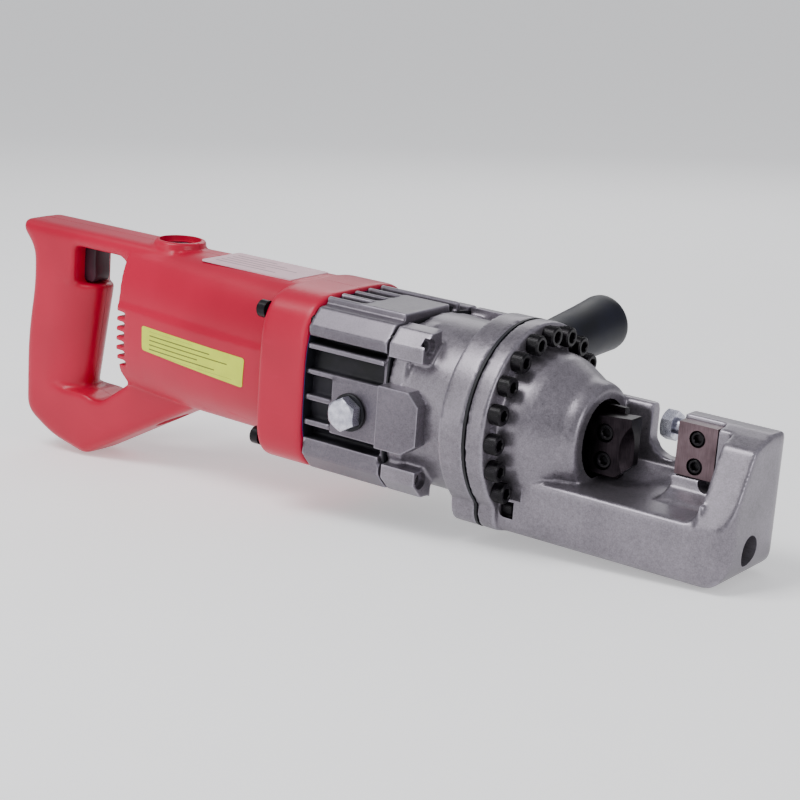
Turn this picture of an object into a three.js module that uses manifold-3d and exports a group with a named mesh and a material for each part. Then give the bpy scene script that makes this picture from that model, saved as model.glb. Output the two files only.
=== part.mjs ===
// Portable electric-hydraulic rebar cutter, 16 mm class.
// Millimetres, +Z up, +X from the handle to the cutting head. The pump, cylinder and piston share
// one tool axis along X. Sizes below are written from the flange joint on that axis; the outer
// group then shifts the tool so that the origin is the middle of the flat face under the head.
import * as THREE from 'three';
import { mergeVertices } from 'three/addons/utils/BufferGeometryUtils.js';
import Module from 'manifold-3d';

const wasm = await Module();
wasm.setup();

// ---- driving dimensions -------------------------------------------------------------------
const GAP = 0.3;                 // clearance between touching pieces
const FLANGE_R = 49.5;           // bolted flange between cylinder and head
const HEAD_FLANGE_X = 10.4;      // front face of the head's flange
const BODY_FLANGE_X = -14.4;     // rear face of the cylinder's flange
const SEAM = 1;                  // half the space for the flange gasket
const FOOT_Y = 33.5;             // half width of the squared flange foot
const BOTTOM_Z = -50;            // flat underside of head and foot
const REST_X = 72;               // middle of the flat underside along the tool
const RING_BOLTS = 17;
const RING_R = 43.6;             // pitch radius of the ring bolts
const RING_STEP = THREE.MathUtils.degToRad(18.5);
const ARM_NEAR = -28.5;          // outer faces of the C-shaped arm
const ARM_FAR = 26;
const HEAD_FRONT = 130.4;
const COLLAR_X = 47;             // front of the collar round the piston
const FLOOR_Z = -20;             // floor of the cutting throat
const WALL_Y = 18;               // inner face of the bar support wall
const WALL_TOP = 17.3;
const SLOT = { x: 73, z: 3.4, r: 11 };        // round bottom of the bar slot
const SEAT = { x: 105.8, y: 8.3, z: -8 };     // machined seat of the fixed cutter
const ROD_R = 17.5;              // piston rod
const PISTON_R = 29.6;
const CYL_R = 30;                // cylinder bore
const STROKE = 20.5;             // full travel of the piston
const CUTTER = { t: 10, fixedX: 85.5, width: 20, z0: -7.6, z1: 17.7 };
const CASE_X = [-100.4, -52.6];  // pump case, rear and front faces
const BODY_REAR = -51;
const BODY_R = 43;
const BAND_X = [-130, -101];     // front band of the motor housing
const BAND = { y: 44, top: 46.5, bottom: -44, squareTop: 4.2, squareBottom: 5 };
const TIE = { y: 36.5, top: 34.5, bottom: -32, r: 2.6 };     // long case screws
const PAD = { x: -72, z: -5.5, y: -41.5 };    // oil plug pad
const PLUG = { flats: 15, top: -49.9, bottom: -43.8, washerR: 9.5 };   // M10 hexagon plug
const MOTOR_Z = 8;               // motor axis above the tool axis
const PINION_TEETH = 9;
const GEAR_TEETH = 36;
const GEAR_MODULE = 1;
const CAM_Z = MOTOR_Z - GEAR_MODULE * (PINION_TEETH + GEAR_TEETH) / 2;
const COMMUTATOR_X = -224;
const HANDLE_Y = 16;             // half thickness of the D handle
const TOP_Z = 47.5;
const STOPPER = { y: 20, z: 8.9, headX: 68.5, headLength: 6.5 };
const GRIP = { x: -33, y: 44, z: 13, tilt: 0.106, length: 91 };

// ---- materials ----------------------------------------------------------------------------
const finish = (color, roughness, metalness) =>
  new THREE.MeshStandardMaterial({ color, roughness, metalness });
const RED = finish(0xd8003a, 0.35, 0);
const CAST = finish(0x8a8494, 0.45, 0.9);
const BLACK_STEEL = finish(0x26262c, 0.4, 0.8);
const TOOL_STEEL = finish(0x7a6f78, 0.35, 0.9);
const ZINC = finish(0xc8c8d2, 0.3, 1);
const RUBBER = finish(0x1b1b20, 0.7, 0);
const BLACK_PLASTIC = finish(0x241a20, 0.5, 0);
const BRIGHT_STEEL = finish(0xb8b8bc, 0.25, 1);
const COPPER_WOUND = finish(0x8a4a2a, 0.5, 0.6);
const CARBON = finish(0x202020, 0.8, 0.1);

// ---- solids from three.js geometry ----------------------------------------------------------
function solid(geometry) {
  const bare = geometry.clone();
  bare.deleteAttribute('normal');
  bare.deleteAttribute('uv');
  const merged = mergeVertices(bare, 1e-4);
  return new wasm.Manifold(new wasm.Mesh({
    numProp: 3,
    vertProperties: new Float32Array(merged.attributes.position.array),
    triVerts: new Uint32Array(merged.index.array),
  }));
}

function geometryOf(shape) {
  const mesh = shape.getMesh();
  const geometry = new THREE.BufferGeometry();
  geometry.setAttribute('position', new THREE.BufferAttribute(mesh.vertProperties, 3));
  geometry.setIndex(new THREE.BufferAttribute(mesh.triVerts, 1));
  return geometry;
}

const join = (shapes) => shapes.reduce((sum, shape) => sum.add(shape));
const cut = (shape, tools) => tools.reduce((rest, tool) => rest.subtract(tool), shape);

function block(x0, x1, y0, y1, z0, z1) {
  const box = new THREE.BoxGeometry(x1 - x0, y1 - y0, z1 - z0);
  return solid(box.translate((x0 + x1) / 2, (y0 + y1) / 2, (z0 + z1) / 2));
}

function rodX(r, x0, x1, y = 0, z = 0, sides = 24) {
  const rod = new THREE.CylinderGeometry(r, r, x1 - x0, sides).rotateZ(-Math.PI / 2);
  return solid(rod.translate((x0 + x1) / 2, y, z));
}

function rodY(r, y0, y1, x = 0, z = 0, sides = 24) {
  const rod = new THREE.CylinderGeometry(r, r, y1 - y0, sides);
  return solid(rod.translate(x, (y0 + y1) / 2, z));
}

function rodZ(r, z0, z1, x = 0, y = 0, sides = 24) {
  const rod = new THREE.CylinderGeometry(r, r, z1 - z0, sides).rotateX(Math.PI / 2);
  return solid(rod.translate(x, y, (z0 + z1) / 2));
}

// profile: [position along X, radius] pairs, starting and ending on the axis or closed on itself
function turnedX(profile, y = 0, z = 0, sides = 32) {
  const lathe = new THREE.LatheGeometry(profile.map(([x, r]) => new THREE.Vector2(r, x)), sides);
  return solid(lathe.rotateZ(-Math.PI / 2).translate(0, y, z));
}

// corners: [u, v, fillet radius] triples of a closed outline
function outline(corners, steps = 3) {
  const points = [];
  corners.forEach(([u, v, r = 0], i) => {
    const corner = new THREE.Vector2(u, v);
    const back = new THREE.Vector2(...corners.at(i - 1).slice(0, 2)).sub(corner);
    const ahead = new THREE.Vector2(...corners[(i + 1) % corners.length].slice(0, 2)).sub(corner);
    const reach = Math.min(r, 0.48 * back.length(), 0.48 * ahead.length());
    if (reach === 0) {
      points.push(corner);
      return;
    }
    const start = back.setLength(reach).add(corner);
    const end = ahead.setLength(reach).add(corner);
    points.push(...new THREE.QuadraticBezierCurve(start, corner, end).getPoints(steps));
  });
  return new THREE.Shape(points);
}

const extruded = (shape, depth) =>
  new THREE.ExtrudeGeometry(shape, { depth, bevelEnabled: false, curveSegments: 12 });

// outline in Y and Z, pulled along X
function prismX(shape, x0, x1) {
  const turn = new THREE.Matrix4().makeBasis(
    new THREE.Vector3(0, 1, 0), new THREE.Vector3(0, 0, 1), new THREE.Vector3(1, 0, 0));
  return solid(extruded(shape, x1 - x0).applyMatrix4(turn).translate(x0, 0, 0));
}

// outline in X and Z, pulled along Y
function prismY(shape, y0, y1) {
  return solid(extruded(shape, y1 - y0).rotateX(Math.PI / 2).translate(0, y1, 0));
}

// outline in X and Y, pulled along Z
const prismZ = (shape, z0, z1) => solid(extruded(shape, z1 - z0).translate(0, 0, z0));

// squarish section: half width, height above and below the axis, and how square each half is
function squircle({ y, top, bottom, squareTop = 4, squareBottom = 4 }, sides = 40) {
  return Array.from({ length: sides }, (_, i) => {
    const angle = (2 * Math.PI * i) / sides;
    const c = Math.cos(angle);
    const s = Math.sin(angle);
    const power = 2 / (s >= 0 ? squareTop : squareBottom);
    const height = s >= 0 ? top : -bottom;
    return [y * Math.sign(c) * Math.abs(c) ** power, height * Math.sign(s) * Math.abs(s) ** power];
  });
}

const shapeOf = (points) => new THREE.Shape(points.map(([u, v]) => new THREE.Vector2(u, v)));

// skin through sections of equal count: [x, [[y, z], ...]] pairs in order along X
function loft(sections) {
  const count = sections[0][1].length;
  const positions = sections.flatMap(([x, points]) => points.flatMap(([y, z]) => [x, y, z]));
  const last = sections.length - 1;
  const index = [];
  for (let s = 0; s < last; s += 1) {
    for (let i = 0; i < count; i += 1) {
      const a = s * count + i;
      const b = s * count + ((i + 1) % count);
      index.push(a, b + count, a + count, a, b, b + count);
    }
  }
  const rearHub = positions.length / 3;
  positions.push(sections[0][0], 0, 0, sections[last][0], 0, 0);
  for (let i = 0; i < count; i += 1) {
    const next = (i + 1) % count;
    index.push(rearHub, next, i, rearHub + 1, last * count + i, last * count + next);
  }
  const skin = new THREE.BufferGeometry();
  skin.setAttribute('position', new THREE.Float32BufferAttribute(positions, 3));
  skin.setIndex(index);
  return solid(skin);
}

const hexagon = (acrossFlats, turn = 0) => shapeOf(Array.from({ length: 6 }, (_, i) => {
  const angle = turn + (Math.PI * i) / 3;
  const r = acrossFlats / Math.sqrt(3);
  return [r * Math.cos(angle), r * Math.sin(angle)];
}));

// ---- scene graph ------------------------------------------------------------------------------
const part = new THREE.Group();
const tool = new THREE.Group();
tool.position.set(-REST_X, 0, -BOTTOM_Z);
part.add(tool);

function place(name, shape, material, parent = tool) {
  const mesh = new THREE.Mesh(shape.isBufferGeometry ? shape : geometryOf(shape), material);
  mesh.name = name;
  parent.add(mesh);
  return mesh;
}

const tiePlaces = [TIE.top, TIE.bottom].flatMap((z) => [[TIE.y, z], [-TIE.y, z]]);
const ringPlaces = Array.from({ length: RING_BOLTS }, (_, i) => {
  const angle = Math.PI / 2 + (i - (RING_BOLTS - 1) / 2) * RING_STEP;
  return [RING_R * Math.cos(angle), RING_R * Math.sin(angle)];
});

// round flange with a squared foot
function flange(x0, x1) {
  const foot = outline([[-FOOT_Y, 0], [-FOOT_Y, BOTTOM_Z, 12], [FOOT_Y, BOTTOM_Z, 12], [FOOT_Y, 0]]);
  return rodX(FLANGE_R, x0, x1, 0, 0, 48).add(prismX(foot, x0, x1));
}

const ringHoles = (x0, x1) => ringPlaces.map(([y, z]) => rodX(3.4, x0, x1, y, z, 8));

// seats for the bolt heads; the two lowest ones open sideways through the faces of the arm
function boltSeats() {
  const [y, z] = ringPlaces[0];
  const seat = { r: 6.4, x: HEAD_FLANGE_X + 11 };
  const rows = [[-60, -Math.abs(y)], [Math.abs(y), 60]];
  return [...ringPlaces.map(([v, w]) => rodX(seat.r, HEAD_FLANGE_X, seat.x, v, w, 12)),
    ...rows.map(([y0, y1]) => block(HEAD_FLANGE_X, seat.x, y0, y1, z - seat.r, z + seat.r))];
}

// ---- cutting head -----------------------------------------------------------------------------
const CUTTER_SCREWS = { fixedX: 95.5, movingX: 53, fixedZ: [10.8, -2.4], movingZ: [6.2, -7.3] };
const ARM_PLUG = { y: -5.5, z: -33, r: 7.5 };

function armBlank() {
  const beam = outline([[ARM_NEAR, FLOOR_Z, 3], [ARM_NEAR, BOTTOM_Z, 9], [ARM_FAR, BOTTOM_Z, 9],
    [ARM_FAR, -10], [WALL_Y, -10, 4], [8, FLOOR_Z + 3, 6], [-12, FLOOR_Z + 1]]);
  const wall = outline([[WALL_Y, -40], [ARM_FAR, -40], [ARM_FAR, WALL_TOP, 3], [WALL_Y, WALL_TOP, 3]]);
  const jaw = outline([[ARM_NEAR, -30], [ARM_FAR, -30], [ARM_FAR, 15, 4], [18, 19], [8, 19.5],
    [0, 17.8], [-10, 14.5, 2], [ARM_NEAR, FLOOR_Z]]);
  const jawBack = outline([[0, -30], [ARM_FAR, -30], [ARM_FAR, 15, 4], [18, 19], [8, 19.5], [0, 17.8]]);
  const ledge = outline([[10, -30], [10, SEAT.z], [0, SEAT.z], [0, -13.5], [-12, -18.5], [-12, -30]]);
  return join([
    prismX(beam, 9, HEAD_FRONT),
    prismX(wall, 30, 86),
    prismX(jaw, 113, HEAD_FRONT),
    prismX(jawBack, 84, HEAD_FRONT),
    prismX(ledge, 84, 114),
  ]);
}

function armLimits() {
  const plan = outline([[0, ARM_NEAR], [HEAD_FRONT, ARM_NEAR, 6], [HEAD_FRONT, ARM_FAR, 11],
    [0, ARM_FAR]], 4);
  const side = outline([[0, BOTTOM_Z], [HEAD_FRONT, BOTTOM_Z, 16], [HEAD_FRONT, 25, 8], [0, 25]], 4);
  return prismZ(plan, BOTTOM_Z - 1, 26).intersect(prismY(side, -40, 40));
}

function cuttingHead() {
  const dome = turnedX([[8, 0], [8, 37.6], [14, 37], [21, 36.3], [26, 35], [32.5, 31.4], [38.5, 28],
    [43, 27.2], [COLLAR_X - 1, 26], [COLLAR_X, 24], [COLLAR_X, 0]], 0, 0, 36);
  const body = join([flange(SEAM, HEAD_FLANGE_X), dome, armBlank().intersect(armLimits())]);
  const slot = join([
    rodY(SLOT.r, 10, 40, SLOT.x, SLOT.z, 28),
    block(SLOT.x - SLOT.r, SLOT.x + SLOT.r, 10, 40, SLOT.z, 40),
  ]);
  return cut(body, [
    slot,
    rodX(CYL_R, -5, 22, 0, 0, 36),
    rodX(ROD_R + 0.5, 20, COLLAR_X + STROKE + 2.5, 0, 0, 32),
    rodX(19.6, COLLAR_X - 2.5, COLLAR_X + 0.6, 0, 0, 32),
    block(80, SEAT.x, -20, SEAT.y, SEAT.z, 30),
    rodY(4.4, -20, SEAT.y, 102.5, -9),
    rodX(ARM_PLUG.r, 112, 140, ARM_PLUG.y, ARM_PLUG.z, 20),
    rodX(4.3, 80, 120, STOPPER.y, STOPPER.z, 16),
    ...CUTTER_SCREWS.fixedZ.map((z) => rodY(2.8, 5, 14.6, CUTTER_SCREWS.fixedX, z, 12)),
    ...ringHoles(-5, 15),
    ...boltSeats(),
  ]);
}

// ---- cutters, screws, stopper ------------------------------------------------------------------
function fixedCutter() {
  const { fixedX, width, z0, z1 } = CUTTER;
  const side = outline([[fixedX, z0], [fixedX + width, z0], [fixedX + width, z1], [fixedX, z1]]);
  const bevel = prismX(outline([[-3, z1 - 1], [3, z1 + 2], [-3, z1 + 2]]), 80, 110);
  return cut(prismY(side, GAP, 8), [
    bevel,
    ...CUTTER_SCREWS.fixedZ.flatMap((z) => [
      rodY(2.8, -5, 12, CUTTER_SCREWS.fixedX, z, 12),
      rodY(4.1, -5, 5.4, CUTTER_SCREWS.fixedX, z, 16),
    ]),
  ]);
}

function movingCutter() {
  const side = outline([[43.5, -14], [60, -14], [66.5, -8], [66.5, 15.6], [43.5, 13.6]]);
  const scoop = solid(new THREE.SphereGeometry(23.5, 40, 24).translate(80, -24, -1));
  return cut(prismY(side, -CUTTER.t, -GAP), [
    scoop,
    ...CUTTER_SCREWS.movingZ.flatMap((z) => [
      rodY(2.8, -20, 5, CUTTER_SCREWS.movingX, z, 12),
      rodY(4.6, -20, -4, CUTTER_SCREWS.movingX, z, 16),
    ]),
  ]);
}

// socket screw along Y: head front at 0, shank towards +Y
function cutterScrew(headR, headLength, length) {
  const body = rodY(headR, 0, headLength, 0, 0, 16).add(rodY(2.5, headLength - 1, length, 0, 0, 10));
  const socket = prismY(hexagon(headR), -1, headLength * 0.6);
  return geometryOf(body.subtract(socket));
}

// socket screw along X: head front at +height, shank from 0 back to -length
function socketScrew(headR, height, shankR, length) {
  const body = rodX(headR, 0, height, 0, 0, 12).add(rodX(shankR, -length, 1, 0, 0, 8));
  return geometryOf(body.subtract(prismX(hexagon(headR), height * 0.45, height + 1)));
}

function stopperBolt() {
  const head = prismX(hexagon(13, Math.PI / 6), 0, STOPPER.headLength);
  const crown = turnedX([[-1, 0], [-1, 5.2], [0.6, 7], [7, 7.6], [7, 0]], 0, 0, 24);
  return head.intersect(crown).add(rodX(3.9, 5, 38, 0, 0, 16));
}

function stopperNut() {
  return prismX(hexagon(13, Math.PI / 6), 0, 4).subtract(rodX(4.2, -1, 5, 0, 0, 16));
}

// ---- cylinder, piston, spring --------------------------------------------------------------------
const gripFrame = new THREE.Matrix4()
  .makeTranslation(GRIP.x, GRIP.y, GRIP.z)
  .multiply(new THREE.Matrix4().makeRotationX(GRIP.tilt));

// rod along the side grip's own axis, from a to b past the grip's root
function gripRod(r, a, b, sides = 24) {
  const rod = new THREE.CylinderGeometry(r, r, b - a, sides).translate(0, (a + b) / 2, 0);
  return solid(rod.applyMatrix4(gripFrame));
}

function sideBlock() {
  const face = outline([[BODY_REAR, -17.5], [-35, -17.5], [-27, -12], [-27, 8], [-33, 14], [BODY_REAR, 14]]);
  return prismY(face, -47, -30);
}

// chamfered corner boss round one of the long case screws; corners are given for +Y and +Z
function tieBoss([y, z], corners, x0, x1) {
  const around = ([v, w]) => Math.atan2(w - z, v - y);
  const mirrored = corners.map(([v, w]) => [Math.sign(y) * v, Math.sign(z) * w]);
  return prismX(outline(mirrored.sort((p, q) => around(p) - around(q))), x0, x1);
}

function cylinderBody() {
  const corners = [[26, 26], [42, 27], [42, 34], [35, 41], [27, 42]];
  const tieBosses = tiePlaces.map((at) => tieBoss(at, corners, BODY_REAR, -31));
  const rear = prismX(shapeOf(squircle({ y: 41, top: 41.5, bottom: -40.5, squareTop: 3, squareBottom: 3 })),
    BODY_REAR, -42);
  const body = join([rodX(BODY_R, BODY_REAR, -13, 0, 0, 40), flange(BODY_FLANGE_X, -SEAM), rear,
    ...tieBosses, sideBlock(), gripRod(13, -8, 1.5)]);
  return cut(body, [
    rodX(CYL_R, -40, 5, 0, 0, 36),
    rodX(5, -55, -45, 0, CAM_Z, 16),
    gripRod(5.1, -9, 5, 16),
    ...tiePlaces.map(([y, z]) => rodX(TIE.r + 0.3, -60, -20, y, z, 12)),
    ...ringHoles(-12, 5),
  ]);
}

function headGasket() {
  return cut(flange(-SEAM + GAP, SEAM - GAP), [rodX(CYL_R + 0.5, -5, 5, 0, 0, 40), ...ringHoles(-5, 5)]);
}

function piston() {
  const nose = block(43, 57, GAP - 0.2, 4.6, -30, 30).add(block(43, 46, GAP - 0.2, 30, -30, 30));
  const turned = turnedX([[-38, 0], [-38, PISTON_R], [-34, PISTON_R], [-34, 26.6], [-30, 26.6],
    [-30, PISTON_R], [-26, PISTON_R], [-26, 20], [-23, ROD_R], [43, ROD_R], [43, 0]], 0, 0, 32);
  const tongue = rodX(ROD_R, 42, 58, 0, 0, 32).intersect(nose);
  return cut(turned.add(tongue),
    CUTTER_SCREWS.movingZ.map((z) => rodY(2.8, -3, 12, CUTTER_SCREWS.movingX, z, 12)));
}

function pistonSeal() {
  return rodX(29.4, -33.7, -30.3, 0, 0, 32).subtract(rodX(26.9, -35, -29, 0, 0, 32));
}

class Helix extends THREE.Curve {
  constructor(radius, x0, x1, turns) {
    super();
    Object.assign(this, { radius, x0, x1, turns });
  }

  getPoint(t, target = new THREE.Vector3()) {
    const angle = 2 * Math.PI * this.turns * t;
    return target.set(this.x0 + (this.x1 - this.x0) * t,
      this.radius * Math.cos(angle), this.radius * Math.sin(angle));
  }
}

const SPRING = { r: 24.4, wire: 1.8, x0: -23.4, x1: 19.4, turns: 5, sides: 5 };

function returnSpring() {
  const wire = shapeOf(Array.from({ length: SPRING.sides }, (_, i) => 2 * Math.PI * i / SPRING.sides)
    .map((angle) => [SPRING.wire * Math.cos(angle), SPRING.wire * Math.sin(angle)]));
  const path = new Helix(SPRING.r, SPRING.x0, SPRING.x1, SPRING.turns);
  return new THREE.ExtrudeGeometry(wire, { steps: SPRING.turns * 12, extrudePath: path });
}

// ---- pump case and its drive ----------------------------------------------------------------------
const CAM = { x0: -72, x1: -62, r: 9, offset: 2.5 };
const FIN_Z = [22.5, 9.5, -3.5, -16.5, -26];
const TOP_FIN_Y = [-26, -15, -4, 7, 18];

function pumpCase() {
  const [x0, x1] = CASE_X;
  const skin = squircle({ y: 37, top: 38.5, bottom: -37, squareTop: 3, squareBottom: 3 });
  const core = prismX(shapeOf(skin), x0, x1);
  const corners = [[25, 25], [41.5, 28], [42, 33], [34.5, 41.5], [27, 42]];
  const bosses = tiePlaces.map((at) => tieBoss(at, corners, x0, x1));
  const sideFins = FIN_Z.flatMap((z) => [-1, 1].map((s) =>
    block(x0 + 1, x1 - 1.5, s > 0 ? 30 : -41, s > 0 ? 41 : -30, z - 1.3, z + 1.3)));
  const topFins = TOP_FIN_Y.flatMap((y) => [block(x0 + 1, x1, y - 1.5, y + 1.5, 30, 45.5),
    block(x0 + 1, x1, y - 1.5, y + 1.5, -42, -30)]);
  const shell = join([core, ...bosses, ...sideFins, ...topFins,
    block(-84, x1 - 1, PAD.y, -30, -19, 8.5),
    block(-80, x1, -27.5, 10, 30, 45.5)]);
  const pumpBlock = block(-76, -58, -11, 11, 4, 34);
  return cut(shell.subtract(rodX(33.5, -94, 0, 0, 0, 48)).add(pumpBlock), [
    rodX(13.3, -99.4, -90, 0, MOTOR_Z, 24),
    rodX(6, -110, -90, 0, MOTOR_Z, 16),
    rodX(5, -99, -90, 0, CAM_Z, 16),
    rodZ(5.3, 0, 22, -67, 0, 20),
    rodY(5.3, -60, -25, PAD.x, PAD.z, 16),
    ...tiePlaces.map(([y, z]) => rodX(TIE.r + 0.4, -120, -40, y, z, 12)),
  ]);
}

function caseGasket() {
  const skin = squircle({ y: 41, top: 41.5, bottom: -40.5, squareTop: 4.4, squareBottom: 4.4 });
  return cut(prismX(shapeOf(skin), -52.3, BODY_REAR - GAP), [
    rodX(33.5, -60, -40, 0, 0, 40),
    ...tiePlaces.map(([y, z]) => rodX(TIE.r + 0.4, -60, -40, y, z, 10)),
  ]);
}

function oilPlug() {
  const rim = PLUG.flats / Math.sqrt(3);
  const crown = [[0, -50], [rim - 1.9, -50], [rim, -48.6], [rim, -40], [0, -40]];
  const turned = solid(new THREE.LatheGeometry(crown.map(([r, h]) => new THREE.Vector2(r, h)), 24));
  const head = prismY(hexagon(PLUG.flats), PLUG.top, PLUG.bottom).intersect(turned);
  return head.add(rodY(5, -44, -29, 0, 0, 14)).translate([PAD.x, 0, PAD.z]);
}

function plugWasher() {
  return rodY(PLUG.washerR, PLUG.bottom + GAP, PAD.y - GAP, PAD.x, PAD.z, 28)
    .subtract(rodY(5.3, -50, -30, PAD.x, PAD.z, 14));
}

// straight-sided teeth with running clearance; the first tooth points along angle `start`
function toothed(teeth, start) {
  const pitch = (GEAR_MODULE * teeth) / 2;
  const flanks = [[-0.62, -1.15], [-0.3, 0.7], [0.3, 0.7], [0.62, -1.15]];
  const angles = Array.from({ length: teeth }, (_, i) => start + (2 * Math.PI * i) / teeth);
  return shapeOf(angles.flatMap((angle) => flanks.map(([across, out]) => {
    const c = Math.cos(angle);
    const s = Math.sin(angle);
    return [(pitch + out) * c - across * s, (pitch + out) * s + across * c];
  })));
}

const PINION_X = [-90.6, -83];

function armature() {
  const shaft = turnedX([[-240.5, 0], [-240.5, 4.7], [-231, 4.7], [-231, 11], [-217, 11], [-217, 6],
    [-211, 6], [-211, 14], [-209, 16.5], [-163, 16.5], [-161, 14], [-161, 6.5], [-152, 6.5],
    [-152, 4.7], [-91, 4.7], [-91, 0]], 0, 0, 20);
  const pinion = prismX(toothed(PINION_TEETH, -Math.PI / 2), -92, PINION_X[1]);
  return shaft.add(pinion).translate([0, 0, MOTOR_Z]);
}

function driveGear() {
  const half = Math.PI / GEAR_TEETH;
  return cut(prismX(toothed(GEAR_TEETH, Math.PI / 2 + half), ...PINION_X), [rodX(5, -100, -70, 0, 0, 20)])
    .translate([0, 0, CAM_Z]);
}

function eccentricShaft() {
  const shaft = rodX(4.7, -98.4, -45.6, 0, 0, 20);
  return shaft.add(rodX(CAM.r, CAM.x0, CAM.x1, 0, CAM.offset, 32)).translate([0, 0, CAM_Z]);
}

function coolingFan() {
  const blades = Array.from({ length: 9 }, (_, i) => {
    const blade = new THREE.BoxGeometry(11, 1.6, 17).translate(-119.5, 0, 15.8);
    return solid(blade.rotateX((2 * Math.PI * i) / 9));
  });
  const disc = rodX(25, -127, -124.5, 0, 0, 30).add(rodX(8, -127, -113, 0, 0, 20));
  return join([disc, ...blades]).subtract(rodX(5, -140, -100, 0, 0, 20)).translate([0, 0, MOTOR_Z]);
}

const ringOf = (outer, inner, x0, x1, z, sides = 32) =>
  rodX(outer, x0, x1, 0, z, sides).subtract(rodX(inner, x0 - 1, x1 + 1, 0, z, sides));

function stator() {
  const ring = ringOf(26, 17.8, -212, -158, MOTOR_Z, 32);
  const coils = [-1, 1].map((s) => block(-213, -153, s * 21.5 - 3, s * 21.5 + 3, MOTOR_Z - 8, MOTOR_Z + 8));
  return join([ring, ...coils]).subtract(rodX(17.8, -230, -140, 0, MOTOR_Z, 32));
}

function oilBladder() {
  const bag = rodX(32.4, -80, -56, 0, 0, 40).subtract(rodX(24, -90, -50, 0, 0, 40))
    .intersect(block(-90, -50, 13, 40, -40, 40));
  const inside = rodX(30.9, -78.5, -57.5, 0, 0, 40).subtract(rodX(25.5, -90, -50, 0, 0, 40))
    .intersect(block(-90, -50, 14.5, 40, -40, 40));
  return cut(bag, [inside, rodX(2.5, -70, -50, 28.2, 0, 12)]);
}

// ---- motor housing with the D handle ----------------------------------------------------------------
const VENTS = { count: 6, top: 10.5, step: 5.4, height: 2.6 };

function motorShell() {
  const section = (x, y, squareTop) =>
    [x, squircle({ y, top: 47, bottom: -38.5, squareTop, squareBottom: 2.3 })];
  return loft([section(-246, 25, 3), section(-226, 27, 3), section(-190, 32, 3.1), section(-150, 36, 3.2),
    section(-129, 37.5, 3.3)]);
}

function handleOutline() {
  return outline([[-330.5, TOP_Z, 4], [-215, TOP_Z], [-197, -36], [-278, -81, 3], [-304, -75.5, 8],
    [-324.8, -64, 8], [-325.5, -20, 18], [-321, 12, 9], [-321.5, 31, 8], [-330.5, 40.5, 3]], 4);
}

function handleWindow() {
  return outline([[-276.5, 16.5, 2], [-288.5, 16.5], [-288.5, 38], [-251, 38, 5], [-246, 30, 3], [-247, 12],
    [-245.5, -24, 3], [-242.5, -30.5, 3], [-267, -48.5, 9], [-281, -44, 4], [-283.5, -34, 4]], 4);
}

// what the oval section of the grip leaves out of its inner corners
function gripCorners() {
  const oval = rodZ(16, -60, 60, 0, 0, 40).scale([1.5, 1, 1]).rotate([0, 8.6, 0]).translate([-304, 0, -10]);
  return block(-304, -270, -17, 17, -45, 16.5).subtract(oval);
}

function housing() {
  const band = prismX(shapeOf(squircle(BAND, 40)), ...BAND_X);
  const handle = prismY(handleOutline(), -HANDLE_Y, HANDLE_Y);
  const ringBoss = rodZ(14, 38, 51, COMMUTATOR_X, 0, 36);
  const vents = Array.from({ length: VENTS.count }, (_, i) => {
    const z = VENTS.top - i * VENTS.step;
    return [-1, 1].map((s) => block(-250, -239, Math.min(s * 11, s * 40), Math.max(s * 11, s * 40),
      z - VENTS.height, z));
  }).flat();
  const solidBody = cut(join([motorShell(), band, handle, ringBoss]),
    [prismY(handleWindow(), -40, 40), gripCorners(), ...vents]);
  return cut(solidBody, [
    rodX(26.6, -214, -128, 0, MOTOR_Z, 32),
    rodX(17, -233, -210, 0, MOTOR_Z, 24),
    rodX(34.5, -131, -90, 0, 0, 36),
    rodX(9.8, -240.6, -230, 0, MOTOR_Z, 24),
    rodZ(9.3, 36, 60, COMMUTATOR_X, 0, 24),
    rodZ(5.6, MOTOR_Z + 10, 40, COMMUTATOR_X, 0, 16),
    rodZ(5.6, -40, MOTOR_Z - 10, COMMUTATOR_X, 0, 16),
    rodZ(9.3, -80, -36, COMMUTATOR_X, 0, 24),
    block(-315, -298, -8.8, 8.8, 6, 38.3),
    block(-299, -280, -6.5, 6.5, 16.3, 38.3),
    block(-196, -133, -16.5, 16.5, 46, 60),
    glandRod(5.8, -12, 8),
    ...tiePlaces.map(([y, z]) => rodX(5.4, -160, BAND_X[0], y, z, 16)),
    ...tiePlaces.map(([y, z]) => rodX(TIE.r + 0.3, -140, -90, y, z, 12)),
  ]);
}

const halfOf = (shape, side) =>
  shape.intersect(block(-400, 0, side > 0 ? GAP / 2 : -60, side > 0 ? 60 : -GAP / 2, -100, 100));

// rod through the slanted lower corner of the handle, square to that face
function glandRod(r, a, b, sides = 20) {
  const outward = new THREE.Vector3(-11.5, 0, -20.8).normalize();
  const turn = new THREE.Quaternion().setFromUnitVectors(new THREE.Vector3(0, 1, 0), outward);
  const rod = new THREE.CylinderGeometry(r, r, b - a, sides).translate(0, (a + b) / 2, 0);
  return solid(rod.applyQuaternion(turn).translate(-314.4, 0, -69.8));
}

function cordGland() {
  return glandRod(5.5, -10, 1.5).subtract(glandRod(2.6, -20, 10, 12));
}

// trigger block, sunk in the grip under the top of the handle
function trigger() {
  const side = outline([[-293, 17, 1], [-282, 17, 2], [-280.5, 20, 3], [-280.5, 37.6, 1], [-293, 37.6, 1]]);
  return prismY(side, -6, 6);
}

function switchBody() {
  return block(-314.6, -300.4, -8.4, 8.4, 8, 37.8).add(block(-301, -299.6, -4, 4, 26, 32));
}

// brush with its spring end, standing out from the commutator
const brush = (sign) => block(COMMUTATOR_X - 3.5, COMMUTATOR_X + 3.5, -2.5, 2.5,
  ...[MOTOR_Z + sign * 11.3, MOTOR_Z + sign * (sign > 0 ? 27 : 42)].sort((a, b) => a - b));

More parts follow.
